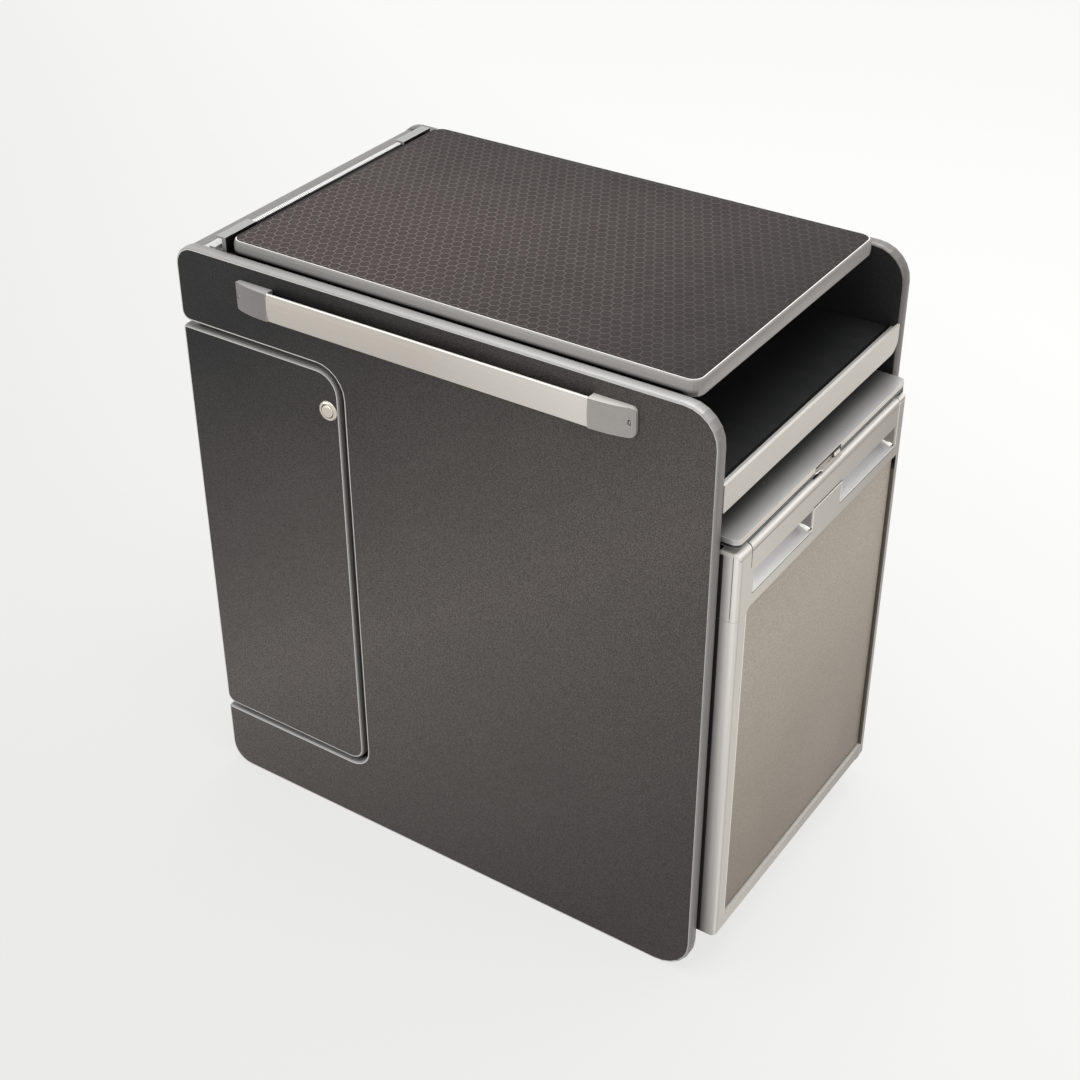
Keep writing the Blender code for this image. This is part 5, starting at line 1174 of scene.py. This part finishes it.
def put_capsule(name, x, width, height, depths, material):
    """Upright plate with round ends, cut across Y, that rides on the pod."""
    low = (x - width / 2, PLUG_HEIGHT - height / 2)
    high = (x + width / 2, PLUG_HEIGHT + height / 2)
    outline = rounded(low, high, width / 2 - 0.01)
    shape = bmesh.new()
    add_loft(shape, [[at(u, y, v) for u, v in outline] for y in depths])
    put(name, shape, material, "pod")


def add_screw(shape, centre, axis, radius=2.6):
    """Countersunk head with a round socket, a touch above the face it sits on."""
    profile = [
        (radius * 0.3, -0.35),
        (radius * 0.36, -0.35),
        (radius * 0.38, 0.16),
        (radius * 0.8, 0.2),
        (radius, 0.02),
        (radius, -0.2),
        (radius * 0.1, -0.5),
    ]
    add_turned(shape, centre, axis, profile, 20)


for side, x in (("left", 94.5), ("right", 578.5)):
    put_capsule("rail_plug_" + side, x, 1.5, 4.6, (-5.6, -3.9), plug_plastic)
    # A dark plate in each slot: painted shade round the plug.
    put_capsule("rail_slot_" + side, x, 3.5, 7.0, (-4.3, -3.95), dark_and_gap_shade)

fixings = {
    "butt_screws_pod": ("pod", [((8.4, y, z), (-1, 0, 0)) for y in (26, 38) for z in BUTT_LEVELS]),
    "butt_screws_door": ("locker_door", [((x, 16.6, z), (0, 1, 0)) for x in (18, 32) for z in BUTT_LEVELS]),
    "strike_screws": ("pod", [((237, 16.8, z), (0, 1, 0)) for z in (571, 592)]),
}
for name, (body, places) in fixings.items():
    heads = bmesh.new()
    for centre, axis in places:
        add_screw(heads, centre, axis)
    put(name, heads, screw_steel, body)

corner_joint = [((11.5, 15.0, 720.9), (24.5, 15.7, 721.5))]
put_blocks("edging_joint", corner_joint, 0.2, dark_and_gap_shade, "pod")
# Painted shade along the shelf's lip, where the flange meets the upright.
under_lip = [((667.1, 16.4, 636.0), (668.15, 403.6, 636.5))]
put_blocks("lip_joint", under_lip, 0.1, dark_and_gap_shade, "pod")
print("screws:", sum(len(places) for body, places in fixings.values()))

# %% [markdown]
# ## The head of the fridge door
# The head is the part with most going on. A round-topped band is let into it, with fine seams where
# the two corner caps begin, and two grips are scooped out below. Thin rods along the seams give
# them a real edge: the left one is dark, and the right one, like the plate's edge, is a near-white
# rod that paints a highlight.

# %% Seams of the band and edge of the plate
CROWN = [(689.6, 557), (689.1, 560.5), (687.4, 563.1), (684.2, 564.7)]
PLATE_EDGE = [(689.7, 182.6, 505), (689.7, 182.6, 530.2), (689.7, 246.4, 530.2), (689.7, 246.4, 505)]

path = [(689.6, 46, 538)] + [(x, 46, z) for x, z in CROWN]
put_rod("band_seam_left", path, 0.42, dark_and_gap_shade, "fridge_door")
# The right seam and the plate's edge: near-white rods that paint a highlight.
path = [(689.75, 384.2, 505)] + [(x, 384.2, z) for x, z in CROWN[:2]]
put_rod("band_seam_right", path, 0.45, painted_highlight_line, "fridge_door")
put_rod("plate_edge", PLATE_EDGE, 0.5, painted_highlight_line, "fridge_door")
print("the seams rise to", CROWN[-1][1], "mm")

# %% [markdown]
# ## The finger grips
# Each scoop has a smooth pale bluish lining, painted light for the scoop, which follows the floor of
# the solid at a small distance. Where the floor meets the end wall, a thick near-white rod sunk into
# the corner leaves a soft fillet with a painted highlight. A crisp lip with a painted highlight runs
# along the front, and a line of painted shade sets it off from the frame below.

# %% Grip linings, fillets and lips
GRIPS = {"left": (52.3, 181.6), "right": (247.2, 381.7)}
GRIP_FLOOR = [
    (690.1, 503.4), (688.6, 504.9), (684, 507.4), (678.6, 510.8), (673.2, 515),
    (669.8, 519.1), (666.5, 524), (664.9, 528), (663.5, 531.2),
]
# A scoop's end wall leans in by 12 mm over the last 13 mm of its depth.
LEAN, LEAN_FROM, LEAN_DEPTH = 12, 674, 13


def lining_ring(y, offset):
    """The scoop's floor at one place, then the same again a little deeper."""
    front = [at(x - offset * 0.4, y, z + offset) for x, z in GRIP_FLOOR]
    back = [at(x - offset * 0.4 - 0.2, y, z + offset - 0.25) for x, z in reversed(GRIP_FLOOR)]
    return front + back


for side, (start, end) in GRIPS.items():
    lining = bmesh.new()
    add_loft(lining, [lining_ring(start + 0.3, 0.4), lining_ring(end - 1, 0.4)])
    put("grip_lining_" + side, lining, grip_lining, "fridge_door", angle=60)
    # The fillet rod is near-white: a painted highlight.
    walls = [end - 4.0 - LEAN * (max(0, LEAN_FROM - x) / LEAN_DEPTH) for x, z in GRIP_FLOOR]
    path = [(x - 1.4, y, z + 1.3) for (x, z), y in zip(GRIP_FLOOR[1:], walls[1:])]
    put_rod("grip_fillet_" + side, path, 5.0, painted_highlight_line, "fridge_door", 16, 60)
    # Painted highlight along the lip.
    path = [(689.6, start, 504.4), (689.6, end - 1.6, 504.4), (689.6, end - 0.2, 506)]
    put_rod("grip_lip_" + side, path, 0.5, painted_highlight_line, "fridge_door")
    # Painted shade: a dark line under the lip.
    path = [(689.8, start - 1.5, 504.8), (689.8, start + 0.5, 503.3), (689.8, end - 1, 503.3)]
    put_rod("grip_line_" + side, path, 0.42, dark_and_gap_shade, "fridge_door")

# A black strip on the head's top: painted shade in the gap under the plate.
head_gap = [((663.6, 46.8, 564.9), (684.3, 383.4, 565.3)), ((663.6, 21, 564.9), (668.5, 46.4, 565.3))]
put_blocks("head_gap", head_gap, 0.1, dark_and_gap_shade, "fridge_door")
print("the grips are", [round(end - start, 1) for start, end in GRIPS.values()], "mm long")

# %% [markdown]
# ## The latch
# Under the plate's fold sits the latch: a slit and a mouth in painted shade, a bent hook in the mouth
# with a painted highlight, and an oval slider that pushes a tongue to the side. The slider's cap, its
# rim and the tongue ride on the button's body, so they move along when it is pushed.

# %% Slit, mouth and hook
# The slit and the mouth are dark pieces of painted shade; the hook is near-white, a painted highlight.
put_rod("latch_slit", [(688.2, 182, 579.4), (688.2, 238, 579.4)], 0.5, dark_and_gap_shade, "pod")
mouth = [((679.5, 181, 566.5), (687.4, 195.6, 571.7))]
put_blocks("latch_mouth", mouth, 0.3, dark_and_gap_shade, "pod")
hook = [
    (687.4, 181.2, 573.2), (688.2, 184.5, 572.6), (688.6, 187.5, 572.8), (688.2, 191, 572.3),
    (688.9, 196, 570.6),
]
put_rod("latch_hook", hook, 0.7, painted_highlight_line, "pod")

# %% Slider
FACE_LEAN = 0.3


def slider_ring(x, shrink):
    """Oval of the slider's cap, drawn in by a length."""
    outline = rounded((221.6 + shrink, 572.6 + shrink), (234.2 - shrink, 577.7 - shrink), 2.5 - shrink)
    return [at(x, y, z) for y, z in outline]


cap = bmesh.new()
steps = [(688.9, 0.1), (689.4, 0.1), (689.75, 0.55), (689.9, 1.5)]
add_loft(cap, [slider_ring(x, shrink) for x, shrink in steps])
put("latch_slider_cap", cap, nickel, "latch_button", angle=60)
oval = rounded((221.0, 572.0), (234.8, 578.0), 2.8)
rim = [(688.75 - (z - 573) * FACE_LEAN, y, z) for y, z in oval + oval[:2]]
put_rod("latch_slider_rim", rim, 0.3, dark_and_gap_shade, "latch_button")
tongue = bmesh.new()
section = [(684.86, 572.1), (687.2, 572.1), (684.98, 577.6), (684.86, 577.6)]
add_loft(tongue, [[at(x, y, z) for x, z in section] for y in (208.4, 221.4)])
put("latch_tongue", tongue, latch_silver, "latch_button")
small = [item for item in bpy.data.objects if item.name.startswith(("grip", "band", "latch"))]
print("the fridge door's head has", len(small), "small pieces")

# %% [markdown]
# ## Inside the fridge
# Nothing inside can be seen in the photograph. Behind the door is what such a fridge usually holds:
# shelves of white coated wire, the embossed channel of the evaporator, marks round the thermostat
# dial and a rounded rim on each door rack. The marks are plain ticks, without figures. The wire
# shelves take the place of two plain solids, which stand in for them where things are stacked.

# %% Wire shelves
WIRES = 21
FRAME_WIRE, CROSS_WIRE, STAY_WIRE = 2.2, 1.1, 1.0
for level in ("lower", "upper"):
    low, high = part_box("fridge_shelf_" + level)
    x0, y0, z0 = Vector(low) / MM + ORIGIN
    x1, y1, z1 = Vector(high) / MM + ORIGIN
    middle = (z0 + z1) / 2
    inner_low = (x0 + FRAME_WIRE, y0 + FRAME_WIRE)
    inner_high = (x1 - FRAME_WIRE, y1 - FRAME_WIRE)
    wires = bmesh.new()
    ring = [(x, y, middle) for x, y in rounded(inner_low, inner_high, 12)]
    add_rod(wires, ring + ring[:2], FRAME_WIRE, 10)
    for k in range(1, WIRES + 1):
        y = y0 + (y1 - y0) * k / (WIRES + 1)
        add_rod(wires, [(inner_low[0], y, middle), (inner_high[0], y, middle)], CROSS_WIRE)
    for share in (0.33, 0.67):
        x = x0 + (x1 - x0) * share
        ends = [(x, inner_low[1], middle - 1.2), (x, inner_high[1], middle - 1.2)]
        add_rod(wires, ends, STAY_WIRE)
    shelf = put("wire_shelf_" + level, wires, wire_white, "pod")
    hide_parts("fridge_shelf_" + level)
print("wire shelves with", WIRES, "wires each")

# %% Evaporator channel, thermostat ticks and rack rims
CHANNEL_RUNS = 7
CHANNEL_PITCH = 27
DIAL = Vector((544.75, 343.7, 521.05))
TICKS = 7
TICK_FROM, TICK_TO = 15.6, 18.4

path = []
for k in range(CHANNEL_RUNS):
    ends = (95, 325) if k % 2 == 0 else (325, 95)
    path += [(300 + k * CHANNEL_PITCH, y, 467.6) for y in ends]
put_rod("evaporator_channel", path, 2.1, white, "pod", 10)
ticks = bmesh.new()
for k in range(TICKS):
    turn = math.radians(225 - 45 * k)
    along = Vector((math.cos(turn), 0, math.sin(turn)))
    add_rod(ticks, [tuple(DIAL + along * TICK_FROM), tuple(DIAL + along * TICK_TO)], 0.4)
put("thermostat_ticks", ticks, dark_and_gap_shade, "pod")
near_side = [(643, 67.2), (618, 67.2), (612, 69.5), (610.7, 75)]
far_side = [(610.7, 345), (612, 350.5), (618, 352.8), (643, 352.8)]
for level, z in (("lower", 180.1), ("upper", 355.1)):
    path = [(x, y, z) for x, y in near_side + far_side]
    put_rod("rack_rim_" + level, path, 1.5, wire_white, "fridge_door", 10)
print("thermostat with", TICKS, "ticks")
